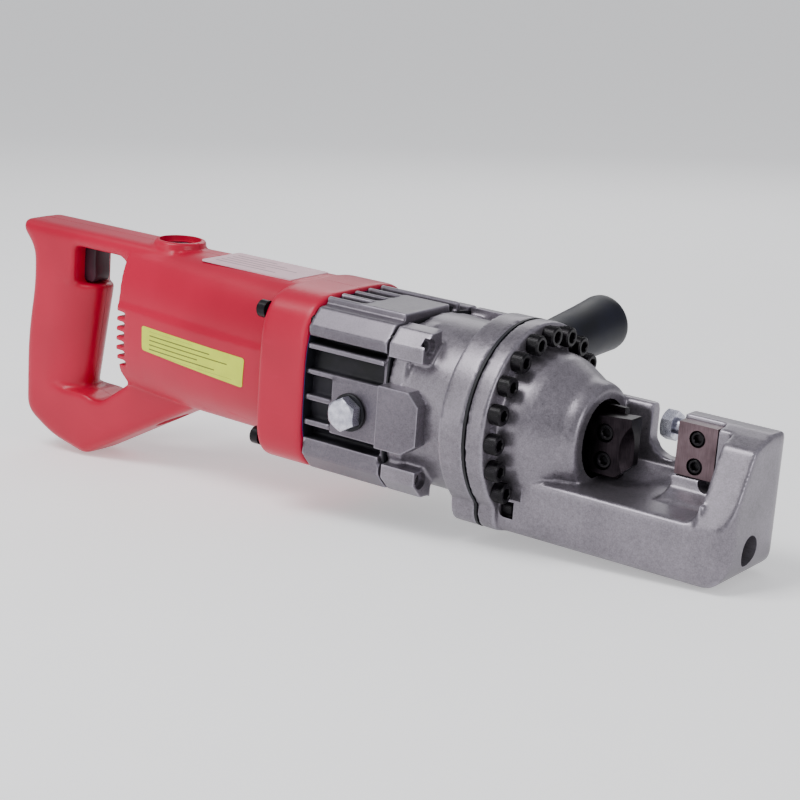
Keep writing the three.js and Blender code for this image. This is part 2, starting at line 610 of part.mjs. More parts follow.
function brushCap(z0, z1, slotZ) {
  const cap = rodZ(9, z0, z1, COMMUTATOR_X, 0, 28);
  return cap.subtract(block(COMMUTATOR_X - 12, COMMUTATOR_X + 12, -1, 1, slotZ - 1.2, slotZ + 1.2));
}

// ---- side grip ----------------------------------------------------------------------------------------
function sideGrip() {
  const profile = [[1.8, 5.4], [1.8, 15], [5, 16], [8, 14], [20, 13.6], [GRIP.length - 20, 14.8],
    [GRIP.length - 4, 15.6], [GRIP.length - 1, 14.6], [GRIP.length, 12], [GRIP.length, 0], [32, 0], [32, 5.4],
    [1.8, 5.4]];
  const lathe = new THREE.LatheGeometry(profile.map(([h, r]) => new THREE.Vector2(r, h)), 32);
  return solid(lathe.applyMatrix4(gripFrame));
}

// ---- assembly -------------------------------------------------------------------------------------------
place('cutting_head', cuttingHead(), CAST);
const ringBolt = socketScrew(5, 6, 2.95, 21);
ringPlaces.forEach(([y, z], i) => {
  const bolt = place(`head_bolt_${String(i + 1).padStart(2, '0')}`, ringBolt, BLACK_STEEL);
  bolt.position.set(HEAD_FLANGE_X + GAP, y, z);
});
place('fixed_cutter', fixedCutter(), TOOL_STEEL);
place('moving_cutter', movingCutter(), TOOL_STEEL);
const fixedScrew = cutterScrew(3.7, 4.6, 13.4);
const movingScrew = cutterScrew(4.2, 4.6, 14);
CUTTER_SCREWS.fixedZ.forEach((z, i) => {
  const screw = place(`fixed_cutter_screw_${i + 1}`, fixedScrew, BLACK_STEEL);
  screw.position.set(CUTTER_SCREWS.fixedX, 0.5, z);
});
CUTTER_SCREWS.movingZ.forEach((z, i) => {
  const screw = place(`moving_cutter_screw_${i + 1}`, movingScrew, BLACK_STEEL);
  screw.position.set(CUTTER_SCREWS.movingX, -9, z);
});
place('stopper_bolt', stopperBolt(), ZINC).position.set(STOPPER.headX, STOPPER.y, STOPPER.z);
place('stopper_nut', stopperNut(), ZINC).position.set(79.6, STOPPER.y, STOPPER.z);
const armPlug = place('arm_plug', socketScrew(7.2, 4, 6.9, 6), BLACK_STEEL);
armPlug.position.set(119, ARM_PLUG.y, ARM_PLUG.z);

place('cylinder_body', cylinderBody(), CAST);
place('head_gasket', headGasket(), RUBBER);
place('piston', piston(), BRIGHT_STEEL);
place('piston_seal', pistonSeal(), RUBBER);
place('return_spring', returnSpring(), BRIGHT_STEEL);

place('pump_case', pumpCase(), CAST);
place('case_gasket', caseGasket(), RUBBER);
place('oil_plug', oilPlug(), ZINC);
place('plug_washer', plugWasher(), RUBBER);
place('oil_bladder', oilBladder(), RUBBER);
place('drive_gear', driveGear(), BRIGHT_STEEL);
place('eccentric_shaft', eccentricShaft(), BRIGHT_STEEL);
place('plunger', rodZ(5, -2.4, 17, -67, 0, 20), BRIGHT_STEEL);

const housingBody = housing();
place('housing_right', halfOf(housingBody, -1), RED);
place('housing_left', halfOf(housingBody, 1), RED);
const caseScrew = socketScrew(4.6, 5.5, TIE.r, 94).rotateY(Math.PI);
tiePlaces.forEach(([y, z], i) => {
  place(`case_screw_${i + 1}`, caseScrew, BLACK_STEEL).position.set(BAND_X[0] - GAP, y, z);
});
place('stator', stator(), COPPER_WOUND);
place('armature', armature(), BRIGHT_STEEL);
place('cooling_fan', coolingFan(), BLACK_PLASTIC);
place('rear_bearing', ringOf(9.4, 5, -240, -233.2, MOTOR_Z), BRIGHT_STEEL);
place('front_bearing', ringOf(13, 5, -99, -92.4, MOTOR_Z), BRIGHT_STEEL);
place('carbon_brush_top', brush(1), CARBON);
place('carbon_brush_bottom', brush(-1), CARBON);
place('brush_cap_top', brushCap(36.3, 48, 48), BLACK_PLASTIC);
place('brush_cap_bottom', brushCap(-45, -36.3, -45), BLACK_PLASTIC);
place('trigger', trigger(), BLACK_PLASTIC);
place('switch_body', switchBody(), BLACK_PLASTIC);
place('cord_gland', cordGland(), RUBBER);

place('grip_stud', gripRod(4.8, -7.5, 30, 16), BLACK_STEEL);
place('side_grip', sideGrip(), RUBBER);

export default part;
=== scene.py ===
import math
from functools import reduce

import bmesh
import bpy
from mathutils import Matrix, Vector
from mathutils.bvhtree import BVHTree


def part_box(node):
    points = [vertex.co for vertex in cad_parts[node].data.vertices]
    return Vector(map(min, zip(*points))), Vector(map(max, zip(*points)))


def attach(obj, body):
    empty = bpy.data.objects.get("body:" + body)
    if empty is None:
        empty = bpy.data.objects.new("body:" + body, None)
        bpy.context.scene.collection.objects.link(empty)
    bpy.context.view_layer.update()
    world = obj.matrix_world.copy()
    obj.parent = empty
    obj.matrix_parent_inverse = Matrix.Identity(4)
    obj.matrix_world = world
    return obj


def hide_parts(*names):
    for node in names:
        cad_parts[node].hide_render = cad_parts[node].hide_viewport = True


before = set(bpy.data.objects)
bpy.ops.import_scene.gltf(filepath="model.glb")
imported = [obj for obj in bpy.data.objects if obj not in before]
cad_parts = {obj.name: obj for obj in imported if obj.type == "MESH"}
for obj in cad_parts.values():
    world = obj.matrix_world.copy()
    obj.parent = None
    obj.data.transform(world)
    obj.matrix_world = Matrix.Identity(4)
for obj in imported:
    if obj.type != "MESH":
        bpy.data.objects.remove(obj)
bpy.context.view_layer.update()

# ---- the tool's own axes ---------
# Shapes are drawn in millimetres from the flange joint, on the axis of the piston, and settled()
# puts them into the frame.
MM = 0.001


def centre_of(node):
    low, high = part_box(node)
    return (low + high) / 2


ORIGIN = Vector((centre_of("head_gasket").x, 0, centre_of("piston_seal").z))
TO_FRAME = Matrix.Translation(ORIGIN) @ Matrix.Scale(MM, 4)


def span(node):
    """Lowest and highest corner of a CAD node in tool millimetres."""
    return tuple((corner - ORIGIN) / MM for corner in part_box(node))


# ---- driving dimensions, millimetres ----
HEAD_LOW, HEAD_HIGH = span("cutting_head")
BODY_LOW = span("cylinder_body")[0]
CASE_LOW, CASE_HIGH = span("pump_case")
FLANGE_R = HEAD_HIGH.z
BOTTOM = HEAD_LOW.z
HEAD_FRONT = HEAD_HIGH.x
SEAM = HEAD_LOW.x
HEAD_FLANGE = span("head_bolt_01")[0].x + 21.0  # the bolt's shank is 21 long
BODY_FLANGE = -14.4
FOOT_Y = 33.5
RING_BOLTS = 17
RING_STEP = math.radians(18.5)
RING_R = (span("head_bolt_09")[0].z + span("head_bolt_09")[1].z) / 2
BOLT_HEAD_R = 5.0
ARM_NEAR = -28.5
ARM_FAR = 26.0
COLLAR_X = 47.0
THROAT_FLOOR = -20.0
WALL_Y = 18.0
WALL_TOP = 17.3
BAR_SLOT = {"x": 73.0, "z": 3.4, "r": 11.0}
CUTTER_LOW, CUTTER_HIGH = span("fixed_cutter")
RAM_LOW, RAM_HIGH = span("moving_cutter")
SEAT = {"x": CUTTER_HIGH.x + 0.3, "y": CUTTER_HIGH.y + 0.3, "z": CUTTER_LOW.z - 0.4}
ROD_R = 17.5
CYLINDER_R = 30.0
STROKE = 20.5
ARM_PLUG = {"y": -5.5, "z": -33.0, "r": 7.5}
STOPPER = (span("stopper_bolt")[0] + span("stopper_bolt")[1]) / 2
FIXED_SCREWS = [(95.5, 10.8), (95.5, -2.4)]
MOVING_SCREWS = [(53.0, 6.2), (53.0, -7.3)]
TIE_SCREWS = [(y, z) for z in (34.5, -32.0) for y in (36.5, -36.5)]
BAND = {"x0": -130.0, "x1": -101.0, "y": 44.0, "top": 46.5, "bottom": -44.0}
MOTOR_Z = 8.0
COMMUTATOR = -224.0
HANDLE_Y = 16.0
PLUG_AT = (-72.0, -5.5)
GRIP = {"x": -33.0, "y": 44.0, "z": 13.0, "tilt": 0.106, "length": 91.0}
COLLAR_MOUTH_R = 19.6
BOLT_SEAT = {"r": 6.4, "depth": 11.0}
END_SEAT = {"r": 6.8, "depth": 7.5}  # round the first and the last ring bolt
SCOOP = {"x": 80.0, "y": -24.0, "z": -1.0, "r": 23.5}  # the ball that hollows the moving cutter
CUTTER_HOLE_R = 2.8
RING_HOLE_R = 3.4
TIE_HOLE_R = 2.9  # through the cylinder and the housing
CASE_HOLE_R = 3.0  # through the pump case and the seals at its ends
PUMP_BORE_R = 33.5
MOTOR_BORE_R = 34.5
PLUG_HOLE_R = 5.3
PINION_DROP = 22.5  # from the motor's axis to the eccentric shaft's
HEX_FLATS = 13.0
THREAD_PITCH = 1.25
BRUSH_R = 5.6
CAP_HOLE_R = 9.3
PLATE = {"x0": -195.3, "x1": -133.7, "y": 15.8}
HEEL = Vector((-278, 0, -81.5))  # a point of the floor, under the handle's corner


# ---- solids ----------------------
def baked(item):
    """A plain mesh of an object with its modifiers applied."""
    depsgraph = bpy.context.evaluated_depsgraph_get()
    return bpy.data.meshes.new_from_object(item.evaluated_get(depsgraph))


def linked(name, data):
    item = bpy.data.objects.new(name, data)
    bpy.context.scene.collection.objects.link(item)
    return item


class Solid:
    """A closed shape. + joins, - cuts, & keeps what two shapes share."""

    def __init__(self, mesh):
        self.mesh = mesh

    def combined(self, other, operation):
        base = linked("base", self.mesh)
        tool = linked("tool", other.mesh)
        modifier = base.modifiers.new("combine", "BOOLEAN")
        modifier.operation = operation
        modifier.solver = "MANIFOLD"
        modifier.object = tool
        result = Solid(baked(base))
        for item in (base, tool):
            bpy.data.objects.remove(item)
        if not result.mesh.vertices:
            raise ValueError(f"nothing is left after {operation}")
        return result

    def __add__(self, other):
        return self.combined(other, "UNION")

    def __sub__(self, other):
        return self.combined(other, "DIFFERENCE")

    def __and__(self, other):
        return self.combined(other, "INTERSECT")

    def cast(self, voxel, rounds):
        """The same shape with the soft edges and hollows of a casting or a moulding."""
        item = linked("casting", self.mesh)
        skin = item.modifiers.new("skin", "REMESH")
        skin.mode = "VOXEL"
        skin.voxel_size = voxel
        smooth = item.modifiers.new("smooth", "SMOOTH")
        smooth.factor = 0.5
        smooth.iterations = rounds
        result = Solid(baked(item))
        bpy.data.objects.remove(item)
        return result

    def moved(self, matrix):
        mesh = self.mesh.copy()
        mesh.transform(matrix)
        return Solid(mesh)

    def shifted(self, x=0.0, y=0.0, z=0.0):
        return self.moved(Matrix.Translation((x, y, z)))


def solid_of(shape, name):
    mesh = bpy.data.meshes.new(name)
    shape.to_mesh(mesh)
    shape.free()
    return Solid(mesh)


def solid_from(vertices, faces):
    shape = bmesh.new()
    made = [shape.verts.new(v) for v in vertices]
    for face in faces:
        shape.faces.new([made[i] for i in face])
    bmesh.ops.remove_doubles(shape, verts=shape.verts, dist=1e-4)
    bmesh.ops.dissolve_degenerate(shape, edges=shape.edges, dist=1e-5)
    bmesh.ops.recalc_face_normals(shape, faces=shape.faces)
    bmesh.ops.triangulate(shape, faces=[f for f in shape.faces if len(f.verts) > 4])
    return solid_of(shape, "solid")


def together(solids):
    """Solids that don't touch each other, as one."""
    shape = bmesh.new()
    for solid in solids:
        shape.from_mesh(solid.mesh)
    return solid_of(shape, "together")


def joined(solids):
    return reduce(lambda a, b: a + b, solids)


def cut(solid, tools):
    return reduce(lambda a, b: a - b, tools, solid)


def skinned(rings):
    """A closed skin through rings of equal count, with flat ends."""
    count = len(rings[0])
    faces = [list(range(count)), [len(rings) * count - 1 - i for i in range(count)]]
    for ring in range(len(rings) - 1):
        for i in range(count):
            a = ring * count + i
            b = ring * count + (i + 1) % count
            faces.append([a, b, b + count, a + count])
    return solid_from([v for ring in rings for v in ring], faces)


TIP_R = 0.01  # a lathe shape closes on its axis with a ring this small
AXES = {
    "x": lambda u, v, w: (w, u, v),
    "y": lambda u, v, w: (u, w, v),
    "z": lambda u, v, w: (u, v, w),
}


def prism(axis, points, start, end):
    """An outline pulled along an axis. Points are (y, z), (x, z) or (x, y)."""
    at = AXES[axis]
    return skinned([[at(u, v, w) for u, v in points] for w in (start, end)])


def block(x0, x1, y0, y1, z0, z1):
    return prism("z", [(x0, y0), (x1, y0), (x1, y1), (x0, y1)], z0, z1)


def circle(r, u=0.0, v=0.0, sides=64):
    return [(u + r * math.cos(math.tau * i / sides), v + r * math.sin(math.tau * i / sides))
            for i in range(sides)]


def rod(axis, r, start, end, u=0.0, v=0.0, sides=64):
    return prism(axis, circle(r, u, v, sides), start, end)


def rods(axis, r, start, end, places, sides=24):
    """Equal rods that don't touch, as one solid."""
    return together([rod(axis, r, start, end, u, v, sides) for u, v in places])


def turned(axis, profile, u=0.0, v=0.0, sides=96):
    """A lathe shape: (position along the axis, radius) pairs that start and end on the axis."""
    at = AXES[axis]
    return skinned([[at(a, b, place) for a, b in circle(max(r, TIP_R), u, v, sides)]
                    for place, r in profile])


def hexagon(flats, turn=0.0):
    r = flats / math.sqrt(3)
    angles = [turn + math.tau * i / 6 for i in range(6)]
    return [(r * math.cos(a), r * math.sin(a)) for a in angles]


def outline(corners, steps=8):
    """(u, v, fillet) corners of a closed outline, as points."""
    points = []
    for i, corner in enumerate(corners):
        here = Vector(corner[:2])
        fillet = corner[2] if len(corner) > 2 else 0.0
        back = Vector(corners[i - 1][:2]) - here
        ahead = Vector(corners[(i + 1) % len(corners)][:2]) - here
        reach = min(fillet, 0.48 * back.length, 0.48 * ahead.length)
        if reach == 0:
            points.append(tuple(here))
            continue
        start = here + back.normalized() * reach
        end = here + ahead.normalized() * reach
        for step in range(steps + 1):
            t = step / steps
            points.append(tuple(start * (1 - t) ** 2 + here * 2 * t * (1 - t) + end * t * t))
    return points


def squircle(y, top, bottom, square_top=3.0, square_bottom=3.0, sides=144):
    points = []
    for i in range(sides):
        c = math.cos(math.tau * i / sides)
        s = math.sin(math.tau * i / sides)
        power = 2 / (square_top if s >= 0 else square_bottom)
        height = top if s >= 0 else -bottom
        points.append((y * math.copysign(abs(c) ** power, c), height * math.copysign(abs(s) ** power, s)))
    return points


def offset(points, distance):
    """An outline moved inwards by a distance."""
    area = sum(a[0] * b[1] - b[0] * a[1] for a, b in zip(points, points[1:] + points[:1]))
    side = math.copysign(1.0, area)
    moved = []
    for i, (u, v) in enumerate(points):
        before = Vector(points[i - 1])
        after = Vector(points[(i + 1) % len(points)])
        along = (after - before).normalized()
        moved.append((u - side * along.y * distance, v + side * along.x * distance))
    return moved


def pillow(points, half, radius, steps=6):
    """An outline pulled along Y to both sides, with its edges rounded."""
    rings = []
    for i in range(-steps, steps + 1):
        turn = math.pi / 2 * i / steps
        depth = radius * (1 - math.cos(turn))
        y = math.copysign(half - radius + radius * abs(math.sin(turn)), i) if i else 0.0
        rings.append([(u, y, v) for u, v in offset(points, depth)])
    return skinned(rings)


# ---- finishes --------------------
class Field:
    """One output of a node graph. Arithmetic on fields adds Math nodes."""

    def __init__(self, graph, socket):
        self.graph = graph
        self.socket = socket

    def math(self, operation, *values):
        return self.graph.node("ShaderNodeMath", {"operation": operation}, dict(enumerate(values)))

    def __add__(self, other):
        return self.math("ADD", self, other)

    def __sub__(self, other):
        return self.math("SUBTRACT", self, other)

    def __rsub__(self, other):
        return self.math("SUBTRACT", other, self)

    def __mul__(self, other):
        return self.math("MULTIPLY", self, other)

    def part(self):
        """What is left of the value past its whole number."""
        return self.math("FRACT", self)

    __radd__ = __add__

    def above(self, edge):
        return self.math("GREATER_THAN", self, edge)

    def below(self, edge):
        return self.math("LESS_THAN", self, edge)

    def between(self, low, high):
        """0 at low and 1 at high, held there outside."""
        return self.graph.node("ShaderNodeMapRange", {"clamp": True},
                               {"Value": self, "From Min": low, "From Max": high})


class Graph:
    """A node tree under construction."""

    def __init__(self, tree):
        self.tree = tree

    def node(self, kind, settings=None, inputs=None, output=0):
        made = self.tree.nodes.new(kind)
        for name, value in (settings or {}).items():
            setattr(made, name, value)
        for key, value in (inputs or {}).items():
            self.feed(made.inputs[key], value)
        return Field(self, made.outputs[output])

    def feed(self, socket, value):
        if isinstance(value, Field):
            self.tree.links.new(value.socket, socket)
        else:
            socket.default_value = value


def colour(red, green, blue):
    """A colour given as it looks on a screen, 0 to 255."""
    def linear(value):
        value /= 255
        return value / 12.92 if value <= 0.04045 else ((value + 0.055) / 1.055) ** 2.4
    return (linear(red), linear(green), linear(blue), 1.0)


class Finish(Graph):
    """A procedural finish on Object coordinates, in metres."""

    def __init__(self, name, **fixed):
        self.material = bpy.data.materials.new(name)
        self.material.use_nodes = True
        super().__init__(self.material.node_tree)
        self.shader = self.tree.nodes["Principled BSDF"]
        for key, value in fixed.items():
            self.shader.inputs[key.replace("_", " ").title()].default_value = value
        self.place = self.node("ShaderNodeTexCoord", output="Object")

    def set(self, name, value):
        self.feed(self.shader.inputs[name], value)

    def axis(self, letter):
        return self.node("ShaderNodeSeparateXYZ", inputs={0: self.place}, output="XYZ".index(letter))

    def stretched(self, x=1.0, y=1.0, z=1.0):
        return self.node("ShaderNodeMapping", inputs={"Vector": self.place, "Scale": (x, y, z)})

    def grain(self, size, detail=2.0, place=None):
        """Noise whose spots are about the given size in millimetres."""
        return self.node("ShaderNodeTexNoise", inputs={
            "Vector": place or self.place, "Scale": 1 / (size * MM), "Detail": detail})

    def mix(self, factor, low, high):
        return self.node("ShaderNodeMix", {"data_type": "RGBA"}, {0: factor, 6: low, 7: high}, output=2)

    def bump(self, height, depth):
        """Relief of the given depth in millimetres."""
        self.set("Normal", self.node("ShaderNodeBump", inputs={"Height": height, "Distance": depth * MM}))

    def edge_highlight(self, low=0.515, high=0.57):
        """1 along outer edges and 0 elsewhere, used to paint a highlight on them; 0.5 is a flat face."""
        return self.node("ShaderNodeNewGeometry", output="Pointiness").between(low, high)


def cast_metal(name, dark, light, roughness, relief):
    finish = Finish(name, metallic=0.72)
    speckle = finish.grain(0.7, 3.0)
    pits = finish.grain(2.2, 4.0)
    cloud = finish.grain(26.0, 3.0)
    tone = (speckle * 0.4 + pits * 0.26 + cloud * 0.34).between(0.3, 0.68)
    cast = finish.mix(tone, dark, light)
    # painted highlight: outer edges are mixed towards a pale grey
    finish.set("Base Color", finish.mix(finish.edge_highlight() * 0.4, cast, colour(196, 190, 204)))
    finish.set("Roughness", roughness + (pits - 0.5) * 0.2 + (speckle - 0.5) * 0.16)
    finish.bump(speckle * 0.6 + pits * 0.4, relief)
    return finish.material


def machined_metal(name, dark, light, roughness, along="x", metallic=1.0):
    """Ground metal with fine lines that run along one axis."""
    finish = Finish(name, metallic=metallic)
    squeeze = {axis: 0.04 if axis == along else 1.0 for axis in "xyz"}
    lines = finish.grain(0.35, 3.0, finish.stretched(**squeeze))
    stain = finish.grain(9.0, 4.0)
    finish.set("Base Color", finish.mix((lines * 0.45 + stain * 0.55).between(0.34, 0.66), dark, light))
    finish.set("Roughness", roughness + (lines - 0.5) * 0.22 + (stain - 0.5) * 0.2)
    finish.bump(lines, 0.012)
    return finish.material


def red_plastic():
    finish = Finish("red_plastic", coat_weight=0.06, coat_roughness=0.25)
    finish.set("Specular IOR Level", 0.32)
    grain = finish.grain(0.28, 2.0)
    flow = finish.grain(55.0, 2.0)
    scuff = finish.grain(5.0, 5.0, finish.stretched(x=0.25)).between(0.62, 0.76)
    tone = finish.mix(flow.between(0.35, 0.65), colour(168, 0, 44), colour(182, 0, 50))
    tone = finish.mix(scuff * 0.1, tone, colour(206, 30, 84))
    finish.set("Base Color", tone)
    finish.set("Roughness", 0.34 + (flow - 0.5) * 0.14 + scuff * 0.14)
    finish.bump(grain, 0.02)
    return finish.material


def black_oxide():
    finish = Finish("black_oxide", metallic=0.4)
    grain = finish.grain(0.6, 3.0)
    cloud = finish.grain(4.0, 3.0)
    finish.set("Specular IOR Level", 0.3)
    finish.set("Base Color", finish.mix(cloud.between(0.4, 0.7), colour(10, 8, 12), colour(22, 18, 24)))
    finish.set("Roughness", 0.34 + (grain - 0.5) * 0.3)
    finish.bump(grain, 0.02)
    return finish.material


def zinc_plate():
    finish = Finish("zinc_plate", metallic=0.9)
    grain = finish.grain(0.5, 3.0)
    cloud = finish.grain(5.0, 4.0)
    tone = finish.mix(cloud.between(0.38, 0.66), colour(162, 162, 176), colour(214, 214, 226))
    finish.set("Base Color", tone)
    finish.set("Roughness", 0.3 + (grain - 0.5) * 0.4)
    finish.bump(grain + cloud, 0.02)
    return finish.material


def moulded(name, dark, light, roughness, relief, size=0.35, gloss=0.3):
    finish = Finish(name)
    finish.set("Specular IOR Level", gloss)
    grain = finish.grain(size, 3.0)
    cloud = finish.grain(14.0, 4.0)
    finish.set("Base Color", finish.mix(cloud.between(0.35, 0.7), dark, light))
    finish.set("Roughness", roughness + (cloud - 0.5) * 0.25)
    finish.bump(grain, relief)
    return finish.material


def printed(name, paper, ink, low, high, lines, roughness=0.42):
    """A plate with plain bars for its print; low and high are two of its corners in the frame."""
    finish = Finish(name)
    grain = finish.grain(0.4, 3.0)
    long = finish.axis("X").between(low.x, high.x)
    short_axis = "Y" if high.y - low.y > high.z - low.z else "Z"
    index = "XYZ".index(short_axis)
    short = finish.axis(short_axis).between(low[index], high[index])
    count = short * lines
    row = count.part()
    ends = 0.9 - (count.math("FLOOR", count) * 0.37).part() * 0.45      # each bar ends elsewhere
    bars = row.above(0.36) * row.below(0.64) * long.above(0.08) * long.below(ends)
    margin = short.above(0.1) * short.below(0.9)
    tone = finish.mix(finish.grain(8.0, 3.0).between(0.3, 0.75) * 0.14, paper, ink)
    finish.set("Base Color", finish.mix(bars * margin * 0.82, tone, ink))
    finish.set("Roughness", roughness + (grain - 0.5) * 0.2)
    finish.bump(grain, 0.01)
    return finish.material


CASTING = cast_metal("cast_steel", colour(92, 88, 94), colour(144, 138, 147), 0.34, 0.08)
DIE_CAST = cast_metal("die_cast", colour(80, 76, 83), colour(116, 110, 119), 0.34, 0.05)
# painted shade: a near-black finish for the gaps between the pump case's fins, where shadow falls
FIN_GAP_SHADE = moulded("fin_gap", colour(14, 14, 18), colour(40, 38, 46), 0.55, 0.05)
MACHINED = machined_metal("machined", colour(120, 116, 126), colour(190, 186, 196), 0.34)
TOOL_STEEL = machined_metal("tool_steel", colour(76, 62, 66), colour(112, 95, 100), 0.34, "z")
DARK_STEEL = machined_metal("dark_steel", colour(14, 12, 15), colour(46, 40, 44), 0.36, "z")
GROUND = machined_metal("ground_steel", colour(150, 150, 156), colour(206, 206, 212), 0.24)
RED = red_plastic()
BLACK_OXIDE = black_oxide()
ZINC = zinc_plate()
RUBBER = moulded("rubber", colour(14, 14, 18), colour(24, 25, 32), 0.5, 0.04)
GRIP_RUBBER = moulded("grip_rubber", colour(7, 8, 17), colour(15, 17, 31), 0.42, 0.05, 0.8, 0.22)
BLACK_PLASTIC = moulded("black_plastic", colour(44, 16, 28), colour(62, 25, 40), 0.46, 0.03)
BLUE_SEAL = moulded("blue_seal", colour(10, 10, 66), colour(18, 18, 88), 0.45, 0.02)
WINDINGS = machined_metal("windings", colour(96, 48, 26), colour(170, 96, 52), 0.4, "x", 0.8)
CARBON = moulded("carbon", colour(24, 24, 26), colour(44, 44, 46), 0.7, 0.05)


# ---- pieces ----------------------
def settled(mesh, crisp):
    """Takes a mesh from tool millimetres to the frame, shaded smooth up to crisp edges."""
    mesh.transform(TO_FRAME)
    mesh.polygons.foreach_set("use_smooth", [True] * len(mesh.polygons))
    mesh.set_sharp_from_angle(angle=math.radians(crisp))
    return mesh


def piece(name, solid, finish, nodes=(), body="tool_body", crisp=38):
    item = linked(name, settled(solid.mesh.copy(), crisp))
    item.data.materials.clear()
    item.data.materials.append(finish)
    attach(item, body)
    if nodes:
        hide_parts(*nodes)
    return item


def repaint(item, finish, test):
    """Gives a second finish to the faces whose centre, in tool millimetres, and normal pass a test."""
    item.data.materials.append(finish)
    last = len(item.data.materials) - 1
    for face in item.data.polygons:
        if test((face.center - ORIGIN) / MM, face.normal):
            face.material_index = last


# ---- repeats ---------------------
class Layout(Graph):
    """A Geometry Nodes tree that places copies of one shape, with named inputs."""

    def __init__(self, name, numbers):
        super().__init__(bpy.data.node_groups.new(name, "GeometryNodeTree"))
        face = self.tree.interface
        face.new_socket("Geometry", in_out="OUTPUT", socket_type="NodeSocketGeometry")
        self.inputs = {label: face.new_socket(label, in_out="INPUT", socket_type=f"NodeSocket{kind}")
                       for label, kind in {"Shape": "Object", "Finish": "Material", **numbers}.items()}
        self.entry = self.tree.nodes.new("NodeGroupInput")

    def given(self, label):
        return Field(self, self.entry.outputs[label])

    def shape(self):
        return self.node("GeometryNodeObjectInfo", inputs={"Object": self.given("Shape")}, output="Geometry")

    def done(self, instances):
        whole = self.node("GeometryNodeRealizeInstances", inputs={0: instances})
        painted = self.node("GeometryNodeSetMaterial", inputs={0: whole, "Material": self.given("Finish")})
        exit_node = self.tree.nodes.new("NodeGroupOutput")
        self.feed(exit_node.inputs[0], painted)

    def made(self, shape, finish, **values):
        """A plain mesh of the copies."""
        pattern = linked("pattern", shape.mesh)
        holder = linked("holder", bpy.data.meshes.new("holder"))
        modifier = holder.modifiers.new("copies", "NODES")
        modifier.node_group = self.tree
        for label, value in {"Shape": pattern, "Finish": finish, **values}.items():
            modifier[self.inputs[label].identifier] = value
        mesh = baked(holder)
        for item in (holder, pattern):
            bpy.data.objects.remove(item)
        return Solid(mesh)


def ring_layout():
    """Copies on an arc about the X axis, centred on +Z; each may be turned on its own axis by chance."""
    tree = Layout("ring_of_copies", {"Count": "Int", "Radius": "Float", "Step": "Float",
                                     "Place X": "Float", "Loose Turn": "Float", "Seed": "Int"})
    index = tree.node("GeometryNodeInputIndex")
    angle = (index - (tree.given("Count") - 1.0) * 0.5) * tree.given("Step") + math.pi / 2
    spot = tree.node("ShaderNodeCombineXYZ", inputs={
        0: tree.given("Place X"),
        1: angle.math("COSINE", angle) * tree.given("Radius"),
        2: angle.math("SINE", angle) * tree.given("Radius")})
    points = tree.node("GeometryNodePoints", inputs={"Count": tree.given("Count"), "Position": spot})
    chance = tree.node("FunctionNodeRandomValue", {"data_type": "FLOAT"},
                       {"Min": 0.0, "Max": tree.given("Loose Turn"), "Seed": tree.given("Seed")}, output=1)
    turn = tree.node("ShaderNodeCombineXYZ", inputs={0: angle + chance})
    tree.done(tree.node("GeometryNodeInstanceOnPoints", inputs={
        "Points": points, "Instance": tree.shape(), "Rotation": turn}))
    return tree


def row_layout():
    """Copies in a straight row from a start, a step apart."""
    tree = Layout("row_of_copies", {"Count": "Int", "Start": "Vector", "Step": "Vector"})
    line = tree.node("GeometryNodeMeshLine", inputs={
        "Count": tree.given("Count"), "Start Location": tree.given("Start"), "Offset": tree.given("Step")})
    tree.done(tree.node("GeometryNodeInstanceOnPoints", inputs={"Points": line, "Instance": tree.shape()}))
    return tree


RING = ring_layout()
ROW = row_layout()


def ring(shape, finish, count, radius, step, x=0.0, loose=0.0, seed=0):
    return RING.made(shape, finish, **{"Count": count, "Radius": float(radius), "Step": step,
                                       "Place X": float(x), "Loose Turn": loose, "Seed": seed})


def row(shape, finish, count, start, step):
    return ROW.made(shape, finish, **{"Count": count, "Start": start, "Step": step})


RING_PLACES = [(RING_R * math.cos(a), RING_R * math.sin(a)) for a in
               (math.pi / 2 + (i - (RING_BOLTS - 1) / 2) * RING_STEP for i in range(RING_BOLTS))]


def knurl(r, x0, x1, count):
    """Straight ridges round a screw head."""
    ridge = prism("x", [(-0.16, -0.5), (0.16, -0.5), (0.0, 0.14)], x0, x1)
    return ring(ridge.moved(Matrix.Rotation(-math.pi / 2, 4, "X")), BLACK_OXIDE, count, r, math.tau / count)


def socket_screw(head_r, height, shank_r, length, key, sides=40):
    """A cap screw along X: its head goes from 0 to its height and its shank the other way."""
    head = turned("x", [(0, 0), (0, head_r), (height - 0.7, head_r), (height, head_r - 0.7), (height, 0)],
                  sides=sides)
    shank = rod("x", shank_r, -length, 0.5, sides=24)
    hole = prism("x", hexagon(key), height * 0.45, height + 1)
    chamfer = turned("x", [(height - 0.5, 0), (height - 0.5, key * 0.5), (height + 0.5, key * 0.72),
                           (height + 0.5, 0)], sides=sides)
    return cut(head + shank, [hole, chamfer])


# ---- cutting head ----------------
def flange(x0, x1):
    foot = outline([(-FOOT_Y, 0), (-FOOT_Y, BOTTOM, 12), (FOOT_Y, BOTTOM, 12), (FOOT_Y, 0)])
    return rod("x", FLANGE_R, x0, x1, sides=192) + prism("x", foot, x0, x1)


def ring_holes(x0, x1):
    return rods("x", RING_HOLE_R, x0, x1, RING_PLACES)


def tie_holes(x0, x1, r=TIE_HOLE_R):
    return rods("x", r, x0, x1, TIE_SCREWS)


